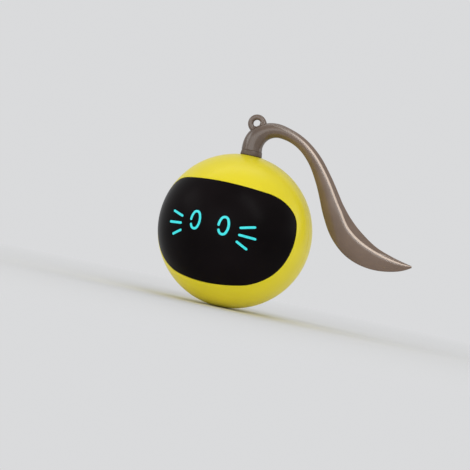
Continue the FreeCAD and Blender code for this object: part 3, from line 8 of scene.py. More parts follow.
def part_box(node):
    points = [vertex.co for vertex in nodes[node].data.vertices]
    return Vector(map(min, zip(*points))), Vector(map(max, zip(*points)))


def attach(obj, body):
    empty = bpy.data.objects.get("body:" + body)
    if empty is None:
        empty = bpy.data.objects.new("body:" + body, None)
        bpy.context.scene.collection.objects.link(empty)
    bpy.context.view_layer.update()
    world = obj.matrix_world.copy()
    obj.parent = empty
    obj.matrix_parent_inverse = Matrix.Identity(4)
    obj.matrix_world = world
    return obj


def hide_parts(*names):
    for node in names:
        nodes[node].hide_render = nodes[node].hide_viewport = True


# Self-rolling cat ball. Shapes are worked out in millimetres about the ball's centre,
# with the face towards -Y, and put into the frame in metres at the end.

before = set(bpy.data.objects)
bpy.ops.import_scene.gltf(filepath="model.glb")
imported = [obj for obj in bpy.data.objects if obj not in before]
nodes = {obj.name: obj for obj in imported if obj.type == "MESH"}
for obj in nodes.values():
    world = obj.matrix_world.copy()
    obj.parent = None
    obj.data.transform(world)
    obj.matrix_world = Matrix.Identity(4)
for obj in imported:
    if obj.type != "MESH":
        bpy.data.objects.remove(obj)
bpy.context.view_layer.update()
mm = 0.001
tiny = 1e-9                             # anything smaller counts as nothing
shellLow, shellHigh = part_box("rear_shell")
ballRadius = (shellHigh.x - shellLow.x) / 2 / mm
front, rear = -1, 1
print("frame loaded, ball radius", round(ballRadius, 2), "mm")


# Mesh tools
def turnsOf(count):                     # angles once round a circle
    return np.linspace(0, 2 * np.pi, count, endpoint=False)


def onCircle(turn):                     # points of the unit circle
    return np.column_stack((np.cos(turn), np.sin(turn)))


def band(rings):                        # quads between rings of equally many points, each ring closed
    rings = np.asarray(rings)
    rows, count = rings.shape[:2]
    here = np.arange(rows * count).reshape(rows, count)
    ahead = np.roll(here, -1, axis=1)
    quads = np.stack((here[:-1], ahead[:-1], ahead[1:], here[1:]), axis=-1)
    return rings.reshape(-1, 3), quads.reshape(-1, 4)


def fan(ring):                          # closes a ring with triangles round its middle
    count = len(ring)
    here = np.arange(count)
    middle = np.full(count, count)
    points = np.vstack((ring, ring.mean(axis=0)))
    return points, np.column_stack((here, np.roll(here, -1), middle))


# In millimetres: points nearer than weld become one, and edges shorter than speck go
mending = dict(weld=0.002, speck=0.0005)


# Each part is points with their faces, and the parts numbered in otherParts have the second look
def makePiece(name, parts, body, node, looks, sharp=32, otherParts=()):
    points = np.vstack([p for p, f in parts]) * mm
    points[:, 2] += ballRadius * mm
    faces, start = [], 0
    for partPoints, partFaces in parts:
        faces += (np.asarray(partFaces) + start).tolist()
        start += len(partPoints)
    mesh = bpy.data.meshes.new(name)
    mesh.from_pydata(points.tolist(), [], faces)
    mesh.polygons.foreach_set("material_index", np.concatenate(
        [np.full(len(f), k in otherParts, dtype=np.int32) for k, (p, f) in enumerate(parts)]))
    shape = bmesh.new()
    shape.from_mesh(mesh)
    bmesh.ops.remove_doubles(shape, verts=shape.verts, dist=mending["weld"] * mm)
    bmesh.ops.dissolve_degenerate(shape, edges=shape.edges, dist=mending["speck"] * mm)
    bmesh.ops.recalc_face_normals(shape, faces=shape.faces)
    openEdges = sum(not edge.is_manifold for edge in shape.edges)
    shape.to_mesh(mesh)
    shape.free()
    mesh.shade_smooth()
    mesh.set_sharp_from_angle(angle=np.radians(sharp))
    for look in looks:
        mesh.materials.append(look)
    piece = bpy.data.objects.new(name, mesh)
    bpy.context.scene.collection.objects.link(piece)
    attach(piece, body)
    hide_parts(node)
    print(name, len(mesh.polygons), "faces,", openEdges, "open edges")
    return piece


# Surfaces of the ball: a flat outline is seen along Y, and thrown onto a sphere
def onBall(flat, radius, side):         # y is what is left of the radius at each (x, z)
    y = side * np.sqrt(np.maximum(radius ** 2 - (flat ** 2).sum(axis=1), 0))
    return np.column_stack((flat[:, 0], y, flat[:, 1]))


def toDisc(points):                     # the same direction, with the angle from the pole as distance
    reach = np.hypot(points[:, 0], points[:, 2])
    angle = np.arctan2(reach, np.abs(points[:, 1]))
    return points[:, ::2] * (angle / np.maximum(reach, tiny))[:, None]


def fromDisc(disc, radius, side):
    angle = np.hypot(*disc.T)
    spread = radius * np.sinc(angle / np.pi)
    return np.column_stack((disc[:, 0] * spread, side * radius * np.cos(angle), disc[:, 1] * spread))


def inside(points, loop):               # even-odd test of points against a closed outline
    ahead = np.roll(loop, -1, axis=0)
    x, y = points[:, :1], points[:, 1:]
    crossing = (loop[:, 1] > y) != (ahead[:, 1] > y)
    rise = ahead[:, 1] - loop[:, 1]
    at = loop[:, 0] + (y - loop[:, 1]) * (ahead[:, 0] - loop[:, 0]) / np.where(rise == 0, 1, rise)
    return (crossing & (x < at)).sum(axis=1) % 2 == 1


def betweenLoops(points, loops):        # inside the first outline and outside the others
    keep = inside(points, loops[0])
    for hole in loops[1:]:
        keep &= ~inside(points, hole)
    return keep


# Rows of points are stretched to reach the rim, points nearer an edge than clear steps are left out, and
# snap joins points where the outlines are meshed flat
skinGrid = dict(rowStretch=1.16, clear=0.45, snap=1e-8)


def ballSkin(radius, side, rim, holes, step):   # triangles of one sphere between a rim and holes
    loops = [toDisc(loop) for loop in [rim, *holes]]
    pitch = np.radians(step)
    span = np.arange(-np.pi / 2, np.pi / 2 + pitch, pitch)
    x, y = np.meshgrid(span, span * np.sqrt(3) / 2 * skinGrid["rowStretch"])
    x = x + np.where(np.arange(len(span)) % 2, pitch / 2, 0)[:, None]
    fill = np.column_stack((x.ravel(), y.ravel()))
    fill = fill[betweenLoops(fill, loops)]
    edge = np.vstack(loops)
    away = np.hypot(fill[:, :1] - edge[:, 0], fill[:, 1:] - edge[:, 1]).min(axis=1)
    fill = fill[away > skinGrid["clear"] * pitch]
    links, start = [], 0
    for loop in loops:
        here = np.arange(start, start + len(loop))
        links.append(np.column_stack((here, np.roll(here, -1))))
        start += len(loop)
    made = delaunay_2d_cdt(np.vstack((edge, fill)).tolist(), np.vstack(links).tolist(), [], 0,
                           skinGrid["snap"], False)
    flat, faces = np.array(made[0]), np.array(made[2])
    return fromDisc(flat, radius, side), faces[betweenLoops(flat[faces].mean(axis=1), loops)]


def roundEdge(shape, radius, side, out, edge, steps=4):   # rings that turn from the skin down into a wall
    turn = np.linspace(0, np.pi / 2, steps + 1)
    return [onBall(shape(out * edge * (1 - np.sin(a))), radius - edge * (1 - np.cos(a)), side) for a in turn]


def disc(x, z, radius, count=48):       # an outline that can grow: a circle
    turn = turnsOf(count)
    return lambda grow=0: (x, z) + (radius + grow) * onCircle(turn)


def penStroke(line, halfWidth, capSteps=8):   # an outline that can grow: a pen's track with round ends
    along = np.gradient(line, axis=0)
    along /= np.hypot(*along.T)[:, None]
    across = along[:, ::-1] * (1, -1)

    def cap(end, heading, width):
        turn = np.linspace(-np.pi / 2, np.pi / 2, capSteps + 2)[1:-1] + np.arctan2(heading[1], heading[0])
        return end + width * onCircle(turn)

    def outline(grow=0):
        width = halfWidth + grow
        return np.vstack((line + across * width, cap(line[-1], along[-1], width),
                          (line - across * width)[::-1], cap(line[0], -along[0], width)))
    return outline


# Window of the face: eight arcs, each tangent to the next
windowShape = dict(halfWidth=30.0, middle=1.1, top=18.55, bottom=22.85, sideRadius=27.0, topRadius=150.0,
                   bottomRadius=61.5, upperCorner=13.1, lowerCorner=20.8, step=0.7)


# Centre of a circle that touches both others from inside
def cornerCentre(first, firstRadius, second, secondRadius, radius):
    gap = second - first
    length = np.hypot(*gap)
    unit = gap / length
    along = ((firstRadius - radius) ** 2 - (secondRadius - radius) ** 2 + length ** 2) / (2 * length)
    across = np.sqrt((firstRadius - radius) ** 2 - along ** 2)
    pair = first + unit * along + np.outer((across, -across), (-unit[1], unit[0]))
    return pair[pair[:, 0].argmax()]


def windowOutline(grow=0):
    w = windowShape
    sideAt = np.array((w["halfWidth"] - w["sideRadius"], w["middle"]))
    topAt = np.array((0, w["top"] - w["topRadius"]))
    bottomAt = np.array((0, w["bottomRadius"] - w["bottom"]))
    upper = cornerCentre(sideAt, w["sideRadius"], topAt, w["topRadius"], w["upperCorner"])
    lower = cornerCentre(sideAt, w["sideRadius"], bottomAt, w["bottomRadius"], w["lowerCorner"])

    def heading(start, end):
        return np.arctan2(end[1] - start[1], end[0] - start[0])

    arcs = [(bottomAt, w["bottomRadius"], -np.pi / 2, heading(bottomAt, lower)),
            (lower, w["lowerCorner"], heading(bottomAt, lower), heading(sideAt, lower)),
            (sideAt, w["sideRadius"], heading(sideAt, lower), heading(sideAt, upper)),
            (upper, w["upperCorner"], heading(sideAt, upper), heading(topAt, upper)),
            (topAt, w["topRadius"], heading(topAt, upper), np.pi / 2)]
    half = []
    for centre, radius, begin, end in arcs:
        turn = np.linspace(begin, end, int(radius * abs(end - begin) / w["step"]) + 2)[:-1]
        half.append(centre + (radius + grow) * onCircle(turn))
    right = np.vstack(half)
    top = [(0, w["top"] + grow)]
    return np.vstack((right, top, (right * (-1, 1))[:0:-1]))


# Materials
def newMaterial(name):
    material = bpy.data.materials.new(name)
    material.use_nodes = True
    tree = material.node_tree
    return material, tree, tree.nodes["Principled BSDF"]


def addNode(tree, kind, **settings):    # a setting is a property of the node, or else one of its inputs
    node = tree.nodes.new(kind)
    for key, value in settings.items():
        if hasattr(node, key):
            setattr(node, key, value)
        else:
            node.inputs[key.replace("_", " ")].default_value = value
    return node


def speckle(tree, scale, detail, stretch=(1, 1, 1)):   # noise in the piece's own place, in metres
    place = addNode(tree, "ShaderNodeTexCoord")
    mapping = addNode(tree, "ShaderNodeMapping", Scale=stretch)
    noise = addNode(tree, "ShaderNodeTexNoise", Scale=scale, Detail=detail)
    tree.links.new(place.outputs["Object"], mapping.inputs["Vector"])
    tree.links.new(mapping.outputs["Vector"], noise.inputs["Vector"])
    return noise.outputs["Fac"]


def tinted(tree, pattern, dark, light, steps, socket):   # the pattern picks a colour between two
    ramp = addNode(tree, "ShaderNodeValToRGB")
    for element, position, colour in zip(ramp.color_ramp.elements, steps, (dark, light)):
        element.position, element.color = position, (*colour, 1)
    tree.links.new(pattern, ramp.inputs["Fac"])
    tree.links.new(ramp.outputs["Color"], socket)


def varied(tree, pattern, limits, socket):   # the pattern picks a value between two
    spread = addNode(tree, "ShaderNodeMapRange", To_Min=limits[0], To_Max=limits[1])
    tree.links.new(pattern, spread.inputs["Value"])
    tree.links.new(spread.outputs["Result"], socket)


def bumped(tree, pattern, strength, depth, socket):
    bump = addNode(tree, "ShaderNodeBump", Strength=strength, Distance=depth)
    tree.links.new(pattern, bump.inputs["Height"])
    tree.links.new(bump.outputs["Normal"], socket)


# A surface has a mottled colour, an uneven sheen and a fine grain. Cloud, wear and grain are the scale,
# detail and stretch of their noises. Steps say where the dark colour ends and the light one begins, and bend
# is the refractive index.
plainPlastic = dict(cloud=(300, 3), steps=(0.3, 0.7), wear=(900, 3), rough=(0.42, 0.55), grain=(3000, 2),
                    bump=0.1, depth=0.00002, bend=1.5, metal=0.0)


def surface(name, s):
    material, tree, shader = newMaterial(name)
    tinted(tree, speckle(tree, *s["cloud"]), s["dark"], s["light"], s["steps"], shader.inputs["Base Color"])
    varied(tree, speckle(tree, *s["wear"]), s["rough"], shader.inputs["Roughness"])
    bumped(tree, speckle(tree, *s["grain"]), s["bump"], s["depth"], shader.inputs["Normal"])
    shader.inputs["IOR"].default_value = s["bend"]
    shader.inputs["Metallic"].default_value = s["metal"]
    return material


yellowPlastic = dict(plainPlastic, dark=(0.68, 0.575, 0.010), light=(0.72, 0.61, 0.013), cloud=(60, 2),
                     wear=(400, 4), rough=(0.30, 0.36), grain=(5200, 1), bump=0.05, bend=1.38,
                     milk=0.10, milkColour=(1.0, 0.8, 0.15), milkDepth=0.002)


def satinYellow():                      # light goes a little way into the plastic
    s = yellowPlastic
    material = surface("satinYellow", s)
    shader = material.node_tree.nodes["Principled BSDF"]
    shader.inputs["Subsurface Weight"].default_value = s["milk"]
    shader.inputs["Subsurface Radius"].default_value = s["milkColour"]
    shader.inputs["Subsurface Scale"].default_value = s["milkDepth"]
    return material


smokedPlastic = dict(plainPlastic, dark=(0.0030, 0.0022, 0.0024), light=(0.0060, 0.0043, 0.0047),
                     cloud=(45, 2), wear=(700, 3), rough=(0.28, 0.34), grain=(90, 1), bump=0.04,
                     depth=0.00003, bend=1.1)
litPlastic = dict(cloud=(1500, 2), steps=(0.3, 0.7), dark=(0.010, 0.14, 0.145), light=(0.015, 0.20, 0.205),
                  dim=(0.012, 0.53, 0.55), bright=(0.022, 0.62, 0.64), glow=1.0, rough=0.4)


def litCyan():                          # the same pattern tints the plastic and its glow
    s = litPlastic
    material, tree, shader = newMaterial("litCyan")
    pattern = speckle(tree, *s["cloud"])
    tinted(tree, pattern, s["dark"], s["light"], s["steps"], shader.inputs["Base Color"])
    tinted(tree, pattern, s["dim"], s["bright"], s["steps"], shader.inputs["Emission Color"])
    shader.inputs["Emission Strength"].default_value = s["glow"]
    shader.inputs["Roughness"].default_value = s["rough"]
    return material


# Painted shade: the brown is darker near the stem point, by the stemShade factors between the stemReach
# distances
brownRubber = dict(plainPlastic, dark=(0.128, 0.082, 0.056), light=(0.151, 0.098, 0.068), cloud=(120, 3),
                   wear=(600, 4), rough=(0.22, 0.27), grain=(3800, 1), bump=0.02, bend=1.66,
                   stem=(0, 0, 0.068), stemReach=(0.006, 0.018), stemShade=(0.60, 1.0))
# The ridge of the tail has a painted highlight: its bead is coloured lighter, and the painted highlight
# fades in past the bend
ridgeHighlight = dict(brownRubber, dark=(0.52, 0.410, 0.330), light=(0.56, 0.445, 0.360), rough=(0.30, 0.33),
                   bump=0.006, stemReach=(0.012, 0.025), stemShade=(0.28, 1.0))
# The collar is a harder plastic of the same brown, and not as glossy; it has the same painted shade near the
# stem
collarPlastic = dict(brownRubber, rough=(0.40, 0.46), bend=1.5)


def softBrown(name, s):                 # painted shade: the colour is darker near the stem; on the ridge this fades the painted highlight in
    material = surface(name, s)
    tree = material.node_tree
    (near, far), (low, high) = s["stemReach"], s["stemShade"]
    place = addNode(tree, "ShaderNodeTexCoord")
    away = addNode(tree, "ShaderNodeVectorMath", operation="DISTANCE")
    away.inputs[1].default_value = s["stem"]
    shade = addNode(tree, "ShaderNodeMapRange", From_Min=near, From_Max=far, To_Min=low, To_Max=high)
    paintedShade = addNode(tree, "ShaderNodeVectorMath", operation="SCALE")
    colour = tree.nodes["Principled BSDF"].inputs["Base Color"]
    tree.links.new(place.outputs["Object"], away.inputs[0])
    tree.links.new(away.outputs["Value"], shade.inputs["Value"])
    tree.links.new(colour.links[0].from_socket, paintedShade.inputs[0])
    tree.links.new(shade.outputs["Result"], paintedShade.inputs["Scale"])
    tree.links.new(paintedShade.outputs["Vector"], colour)
    return material


yellow, smoked, cyan = satinYellow(), surface("smokedBlack", smokedPlastic), litCyan()
brown, ridgeHighlightBrown = softBrown("softBrown", brownRubber), softBrown("ridgeHighlightBrown", ridgeHighlight)
collarBrown = softBrown("collarBrown", collarPlastic)

# Inner pieces: each finish, and the nodes that have it
castNoise, drawnNoise, printNoise = (1400, 4), (1400, 4, (1, 1, 12)), (800, 0, (1, 1, 6))
drawnMetal = dict(plainPlastic, cloud=drawnNoise, wear=drawnNoise, grain=drawnNoise, rough=(0.22, 0.38),
                  bump=0.12, depth=0.00001, metal=1.0)
castMetal = dict(drawnMetal, cloud=castNoise, wear=castNoise, grain=castNoise, rough=(0.4, 0.55), bump=0.5)
insideLooks = dict(
    frameWhite=dict(plainPlastic, dark=(0.66, 0.66, 0.63), light=(0.76, 0.76, 0.73)),
    gearIvory=dict(plainPlastic, dark=(0.74, 0.71, 0.60), light=(0.84, 0.81, 0.71), rough=(0.3, 0.4)),
    blackPlastic=dict(plainPlastic, dark=(0.018, 0.018, 0.018), light=(0.035, 0.035, 0.035)),
    chipBlack=dict(plainPlastic, dark=(0.012, 0.012, 0.013), light=(0.028, 0.028, 0.030), rough=(0.5, 0.6)),
    lampLens=dict(plainPlastic, dark=(0.72, 0.72, 0.55), light=(0.86, 0.86, 0.72), rough=(0.15, 0.2)),
    foamTape=dict(plainPlastic, dark=(0.03, 0.03, 0.03), light=(0.06, 0.06, 0.06), rough=(0.85, 0.95),
                  grain=(1500, 2), bump=0.6),
    printedBoard=dict(plainPlastic, dark=(0.010, 0.105, 0.042), light=(0.022, 0.180, 0.075),
                      cloud=printNoise, steps=(0.46, 0.52), wear=(1200, 2), rough=(0.3, 0.45),
                      grain=printNoise, bump=0.15),
    turnedSteel=dict(drawnMetal, dark=(0.46, 0.46, 0.47), light=(0.66, 0.66, 0.67)),
    cutBrass=dict(drawnMetal, dark=(0.62, 0.44, 0.16), light=(0.80, 0.60, 0.26), rough=(0.18, 0.3)),
    sinteredBronze=dict(castMetal, dark=(0.38, 0.24, 0.11), light=(0.55, 0.37, 0.19), bump=0.4),
    castZinc=dict(castMetal, dark=(0.34, 0.34, 0.36), light=(0.48, 0.48, 0.50)),
    cellFoil=dict(castMetal, dark=(0.62, 0.63, 0.65), light=(0.76, 0.77, 0.79), rough=(0.25, 0.4)))
insideNodes = dict(
    frameWhite=["main_frame", "gear_cover"],
    gearIvory=["output_gear", "second_gear", "first_gear"],
    blackPlastic=["light_baffle", "motor_end_cap", "tact_switch", "switch_plunger"],
    chipBlack=["board_components"],
    lampLens=["display_leds"],
    foamTape=["battery_pad"],
    printedBoard=["display_board", "main_board"],
    turnedSteel=["display_screws", "gear_cover_screws", "gear_pins", "motor_can", "motor_screws",
                 "main_board_screws", "usb_receptacle", "assembly_screws", "cross_axle",
                 "counterweight_screws", "motor_shaft"],
    cutBrass=["motor_pinion"],
    sinteredBronze=["axle_bush_left", "axle_bush_right"],
    castZinc=["counterweight_left", "counterweight_right"],
    cellFoil=["battery_cell"])


def dress(name, material):              # gives a solid of the frame its look
    nodes[name].data.materials.clear()
    nodes[name].data.materials.append(material)


for look, names in insideNodes.items():
    material = surface(look, insideLooks[look])
    for name in names:
        dress(name, material)
dress("light_guide", cyan)
print("materials made")


# Casing: two half balls with a socket for the tail on top, where they meet
casing = dict(innerRadius=30.6, seamEdge=0.2, seamSteps=5, windowEdge=0.18, holeEdge=0.2, socketRadius=4.8,
              socketLevel=31.55, neckRadius=3.3, skinStep=2.0, innerStep=6.0, arcPoints=240, notchPoints=22)
rearHoles = dict(button=(0, 6.0, 3.35), screwWell=2.15, screwHole=1.15, wellFloor=7.5, bossRadius=2.85,
                 bossFoot=1.6, screws=[(-11.4, 23.15), (11.4, 23.15), (-10.6, -25.6), (10.6, -25.6)],
                 socketHalfWidth=4.77, socketHalfHeight=1.93, socketHeight=-4.0, socketPoints=14)


def halfRim(side, radius, y, notch, level):   # once round the seam and back through the socket's half circle
    c = casing
    start = np.arcsin(np.sqrt(notch ** 2 - y ** 2) / radius)
    turn = np.linspace(start, 2 * np.pi - start, c["arcPoints"])
    arc = np.column_stack((radius * np.sin(turn), np.full(len(turn), side * y), radius * np.cos(turn)))
    begin = np.arcsin(y / notch)
    back = np.linspace(np.pi - begin, begin, c["notchPoints"] + 2)[1:-1]
    hollow = np.column_stack((notch * np.cos(back), side * notch * np.sin(back), np.full(len(back), level)))
    return np.vstack((arc, hollow))


def halfShell(name, side, node, openings):
    c = casing
    edge = c["seamEdge"]
    ballLevel = np.sqrt(ballRadius ** 2 - c["socketRadius"] ** 2)
    rims = []
    for turn in np.linspace(0, np.pi / 2, c["seamSteps"]):
        level = ballLevel + (c["socketLevel"] - ballLevel) * turn / (np.pi / 2)
        y = edge * (1 - np.sin(turn))
        radius = np.sqrt(ballRadius ** 2 - edge ** 2) - edge * (1 - np.cos(turn))
        rims.append(halfRim(side, radius, y, c["socketRadius"], level))
    innerLevel = np.sqrt(c["innerRadius"] ** 2 - c["neckRadius"] ** 2)
    rims.append(halfRim(side, c["innerRadius"], 0, c["neckRadius"], c["socketLevel"]))
    rims.append(halfRim(side, c["innerRadius"], 0, c["neckRadius"], innerLevel))
    bands = [band(rings) for rings in [rims, *openings]]
    outer = ballSkin(ballRadius, side, rims[0], [rings[0] for rings in openings], c["skinStep"])
    inner = ballSkin(c["innerRadius"], side, rims[-1], [rings[-1] for rings in openings], c["innerStep"])
    return makePiece(name, [outer, inner, *bands], "ball", node, [yellow])


def holeRings(shape, side, edge, inner):    # a rounded mouth and a straight wall to the inside
    return roundEdge(shape, ballRadius, side, 1, edge) + [onBall(shape(0), inner, side)]


def flatRing(shape, y):
    loop = shape(0)
    return np.column_stack((loop[:, 0], np.full(len(loop), y), loop[:, 1]))


def screwWellRings(x, z):               # mouth, well, seat, clearance hole and the boss round it
    h = rearHoles
    mouth = roundEdge(disc(x, z, h["screwWell"]), ballRadius, rear, 1, casing["holeEdge"])
    well, hole, boss = [disc(x, z, h[name]) for name in ("screwWell", "screwHole", "bossRadius")]
    return mouth + [flatRing(well, h["wellFloor"]), flatRing(hole, h["wellFloor"]),
                    flatRing(hole, h["bossFoot"]), flatRing(boss, h["bossFoot"]),
                    onBall(boss(0), casing["innerRadius"], rear)]


def chargeSlot():                       # a stadium in front of the charging socket
    h = rearHoles
    reach = h["socketHalfWidth"] - h["socketHalfHeight"]
    line = np.column_stack((np.linspace(-reach, reach, h["socketPoints"]),
                            np.full(h["socketPoints"], h["socketHeight"])))
    return penStroke(line, h["socketHalfHeight"])


frontWindow = [holeRings(windowOutline, front, casing["windowEdge"], casing["innerRadius"])]
rearRings = [holeRings(disc(*rearHoles["button"]), rear, casing["holeEdge"], casing["innerRadius"]),
             holeRings(chargeSlot(), rear, casing["holeEdge"], casing["innerRadius"]),
             *[screwWellRings(x, z) for x, z in rearHoles["screws"]]]
halfShell("frontCasing", front, "front_shell", frontWindow)
halfShell("rearCasing", rear, "rear_shell", rearRings)


# Face: the smoked window with a slot for each lit stroke
face = dict(gap=0.08, edge=0.16, innerRadius=30.6, strokeWidth=0.95, slotGap=0.03, slotEdge=0.04,
            slotSteps=2, skinStep=1.6, eyeSpread=6.15, eyeHeight=1.1, eyeHalfWidth=2.0, eyeHalfHeight=3.5,
            eyeEndRadius=1.5, eyeGapStart=0.0, eyeGapEnd=2.05, eyeStep=0.25, samePoint=1e-6,
            whiskerPoints=12)
whiskers = dict(top=((12.8, 1.65), (17.6, 2.97)), middle=((12.85, -1.25), (18.5, -1.62)),
                bottom=((12.35, -4.15), (16.0, -6.22)))


def eyeLine(x):                         # an oval of four tangent arcs, open for a little on its left side
    f = face
    half, end = f["eyeHalfWidth"], f["eyeEndRadius"]
    drop = f["eyeHalfHeight"] - end
    side = (drop ** 2 + half ** 2 - end ** 2) / (2 * (half - end))
    offset = side - half
    tilt = np.arctan2(drop, offset)
    arcs = [(offset, 0, side, np.pi + np.arcsin(f["eyeGapEnd"] / side), np.pi + tilt),
            (0, -drop, end, np.pi + tilt, 2 * np.pi - tilt),
            (-offset, 0, side, -tilt, tilt),
            (0, drop, end, tilt, np.pi - tilt),
            (offset, 0, side, np.pi - tilt, np.pi - np.arcsin(f["eyeGapStart"] / side))]
    line = []
    for cx, cz, radius, start, stop in arcs:
        turn = np.linspace(start, stop, int(radius * (stop - start) / f["eyeStep"]) + 2)
        line.append((cx, cz) + radius * onCircle(turn))
    line = np.vstack(line)
    step = np.hypot(*np.diff(line, axis=0).T)
    line = line[np.append(True, step > f["samePoint"])]   # an arc ends where the next one starts
    return line + (x, f["eyeHeight"])


def whiskerLine(start, end):
    return np.linspace(start, end, face["whiskerPoints"])


def faceStrokes(grow):
    half = face["strokeWidth"] / 2 + grow
    lines = [eyeLine(sign * face["eyeSpread"]) for sign in (-1, 1)]
    lines += [whiskerLine(*(np.array(ends) * (sign, 1))) for sign in (-1, 1) for ends in whiskers.values()]
    return [penStroke(line, half) for line in lines]


def smokedWindow():
    f = face

    def pane(grow=0):
        return windowOutline(grow - f["gap"])

    rim = roundEdge(pane, ballRadius, front, -1, f["edge"]) + [onBall(pane(0), f["innerRadius"], front)]
    slots = [roundEdge(stroke, ballRadius, front, 1, f["slotEdge"], f["slotSteps"])
             + [onBall(stroke(0), f["innerRadius"], front)] for stroke in faceStrokes(f["slotGap"])]
    outer = ballSkin(ballRadius, front, rim[0], [rings[0] for rings in slots], f["skinStep"])
    inner = ballSkin(f["innerRadius"], front, rim[-1], [rings[-1] for rings in slots], casing["innerStep"])
    bands = [band(rim)] + [band(rings) for rings in slots]
    return makePiece("faceWindow", [outer, inner, *bands], "ball", "visor_lens", [smoked])


smokedWindow()


# Power button: a flush cap of the ball with a flange behind the wall
button = dict(x=0, z=6.0, radius=3.25, edge=0.25, base=27.0, flangeRadius=4.0, flangeLow=27.2,
              flangeHigh=28.1, step=1.0)


def powerButton():
    b = button
    cap, flange = disc(b["x"], b["z"], b["radius"]), disc(b["x"], b["z"], b["flangeRadius"])
    rings = roundEdge(cap, ballRadius, rear, -1, b["edge"])
    rings += [flatRing(cap, b["flangeHigh"]), flatRing(flange, b["flangeHigh"]),
              flatRing(flange, b["flangeLow"]), flatRing(cap, b["flangeLow"]), flatRing(cap, b["base"])]
    top = ballSkin(ballRadius, rear, rings[0], [], b["step"])
    parts = [top, band(rings), fan(rings[-1])]
    return makePiece("powerButton", parts, "button", "power_button", [yellow])


powerButton()
print("ball made")


# Tail collar: a turned ring with a barbed stud, flat on one side
collar = dict(flangeRadius=4.6, flangeLow=27.3, flangeHigh=28.5, neckRadius=3.2, low=31.65, high=33.85,
              lowRadius=4.55, highRadius=4.3, edge=0.12, edgeMiddle=0.3, footEdge=0.4, footSteps=6,
              studRadius=2.3, barbRadius=2.5, barbFoot=1.6, barbEdge=1.5, studTaper=0.4, studTop=38.85,
              flat=1.8, count=96)


def tailCollar():
    c = collar
    edge, middle = c["edge"], c["edgeMiddle"] * c["edge"]
    rounding = np.linspace(0, np.pi / 2, c["footSteps"])
    foot = np.column_stack((c["lowRadius"] - c["footEdge"] * (1 - np.sin(rounding)),
                            c["low"] + c["footEdge"] * (1 - np.cos(rounding))))
    profile = np.array([
        (0, c["flangeLow"]), (c["flangeRadius"] - edge, c["flangeLow"]),
        (c["flangeRadius"], c["flangeLow"] + edge), (c["flangeRadius"], c["flangeHigh"] - edge),
        (c["flangeRadius"] - edge, c["flangeHigh"]), (c["neckRadius"], c["flangeHigh"]),
        (c["neckRadius"], c["low"]), *foot, (c["highRadius"], c["high"] - edge),
        (c["highRadius"] - middle, c["high"] - middle), (c["highRadius"] - edge, c["high"]),
        (c["studRadius"], c["high"]), (c["studRadius"], c["studTop"] - c["barbFoot"]),
        (c["barbRadius"], c["studTop"] - c["barbEdge"]), (c["studRadius"] - c["studTaper"], c["studTop"]),
        (0, c["studTop"])])
    turn = turnsOf(c["count"])
    rings = np.stack((np.outer(profile[:, 0], np.cos(turn)), np.outer(profile[:, 0], np.sin(turn)),
                      np.repeat(profile[:, 1:], c["count"], axis=1)), axis=-1)
    onStud = rings[..., 2] > c["high"] + tiny
    rings[..., 1] = np.where(onStud, np.minimum(rings[..., 1], c["flat"]), rings[..., 1])
    return makePiece("tailCollar", [band(rings)], "swivel", "tail_collar", [collarBrown])


tailCollar()


# Tail: a section carried along a spine of tangent arcs, in a plane turned a little from +X
# ridgeColumns and ridgeFrom place the painted highlight along the bead of the crease
tail = dict(start=(-0.15, 33.85), stem=1.0, arcs=[(9.2, -100.0), (24.7, -33.0), (60.5, -22.0), (34.2, 77.0)],
            turn=10.0, stations=330, baseStations=(0, 0.05, 0.14), firstStation=0.4, baseEdge=0.14,
            boreRadius=2.6, boreDepth=5.5, boreFlat=1.92, ridgeColumns=(34, 43), ridgeFrom=14.0, sharp=40)
# Distance along the spine, width, thickness, leaf share from 0 (round) to 1, the crease's place on the
# outer half, and how far the middle stands outside the spine
tailSections = np.array([
    (0.0, 8.6, 8.6, 0.0, 0.5, 0.0), (2.0, 8.45, 8.3, 0.0, 0.5, 0.12),
    (4.0, 8.4, 8.0, 0.0, 0.5, 0.25), (6.0, 8.2, 7.7, 0.0, 0.5, 0.32),
    (8.5, 7.5, 7.2, 0.0, 0.5, 0.2), (11.5, 6.7, 6.6, 0.05, 0.5, 0.1),
    (15.0, 5.9, 5.95, 0.2, 0.46, 0.05), (19.0, 5.25, 5.3, 0.45, 0.4, 0.15),
    (23.5, 5.0, 4.75, 0.75, 0.36, 0.36), (28.5, 5.1, 4.4, 1.0, 0.33, 0.52),
    (35.0, 5.7, 4.6, 1.0, 0.36, 0.64), (43.0, 6.75, 5.3, 1.0, 0.46, 0.24),
    (51.0, 8.1, 6.0, 1.0, 0.5, 0.12), (59.0, 9.7, 6.6, 1.0, 0.53, 0.48),
    (67.0, 11.2, 6.4, 1.0, 0.4, 0.25), (75.0, 11.4, 5.7, 1.0, 0.44, 0.05),
    (83.0, 9.5, 4.5, 1.0, 0.53, 0.12), (91.0, 6.5, 2.9, 1.0, 0.47, 0.5),
    (97.5, 3.0, 1.5, 1.0, 0.4, 0.57), (100.4, 0.8, 0.7, 1.0, 0.35, 0.6)])
# Named points of a section: degrees where it is round, shares of half its width and thickness where it is a
# leaf. The bead along the crease is in millimetres, and smaller where the leaf is narrow.
tailOutline = dict(angles=dict(nose=150, side=105, foot=66, ridge=62, root=58, facet=40, edge=20),
                   nose=(-0.86, 0.42), side=(-0.25, 0.86), facetDepth=0.42, edgeHalf=0.45, edgeShare=0.28,
                   edgeInset=0.6, beadIn=0.65, beadLean=0.1, beadOut=0.5, beadDrop=0.64, beadMiddle=0.29,
                   beadFull=2.6, arcPoints=14, edgePoints=6)


def smoothTrack(at, knots, values):     # a smooth curve through the values, with its slopes from theirs
    slope = np.gradient(values, knots)
    i = np.clip(np.searchsorted(knots, at) - 1, 0, len(knots) - 2)
    span = knots[i + 1] - knots[i]
    t = (at - knots[i]) / span
    return ((2 * t ** 3 - 3 * t ** 2 + 1) * values[i] + (t ** 3 - 2 * t ** 2 + t) * span * slope[i]
            + (3 * t ** 2 - 2 * t ** 3) * values[i + 1] + (t ** 3 - t ** 2) * span * slope[i + 1])


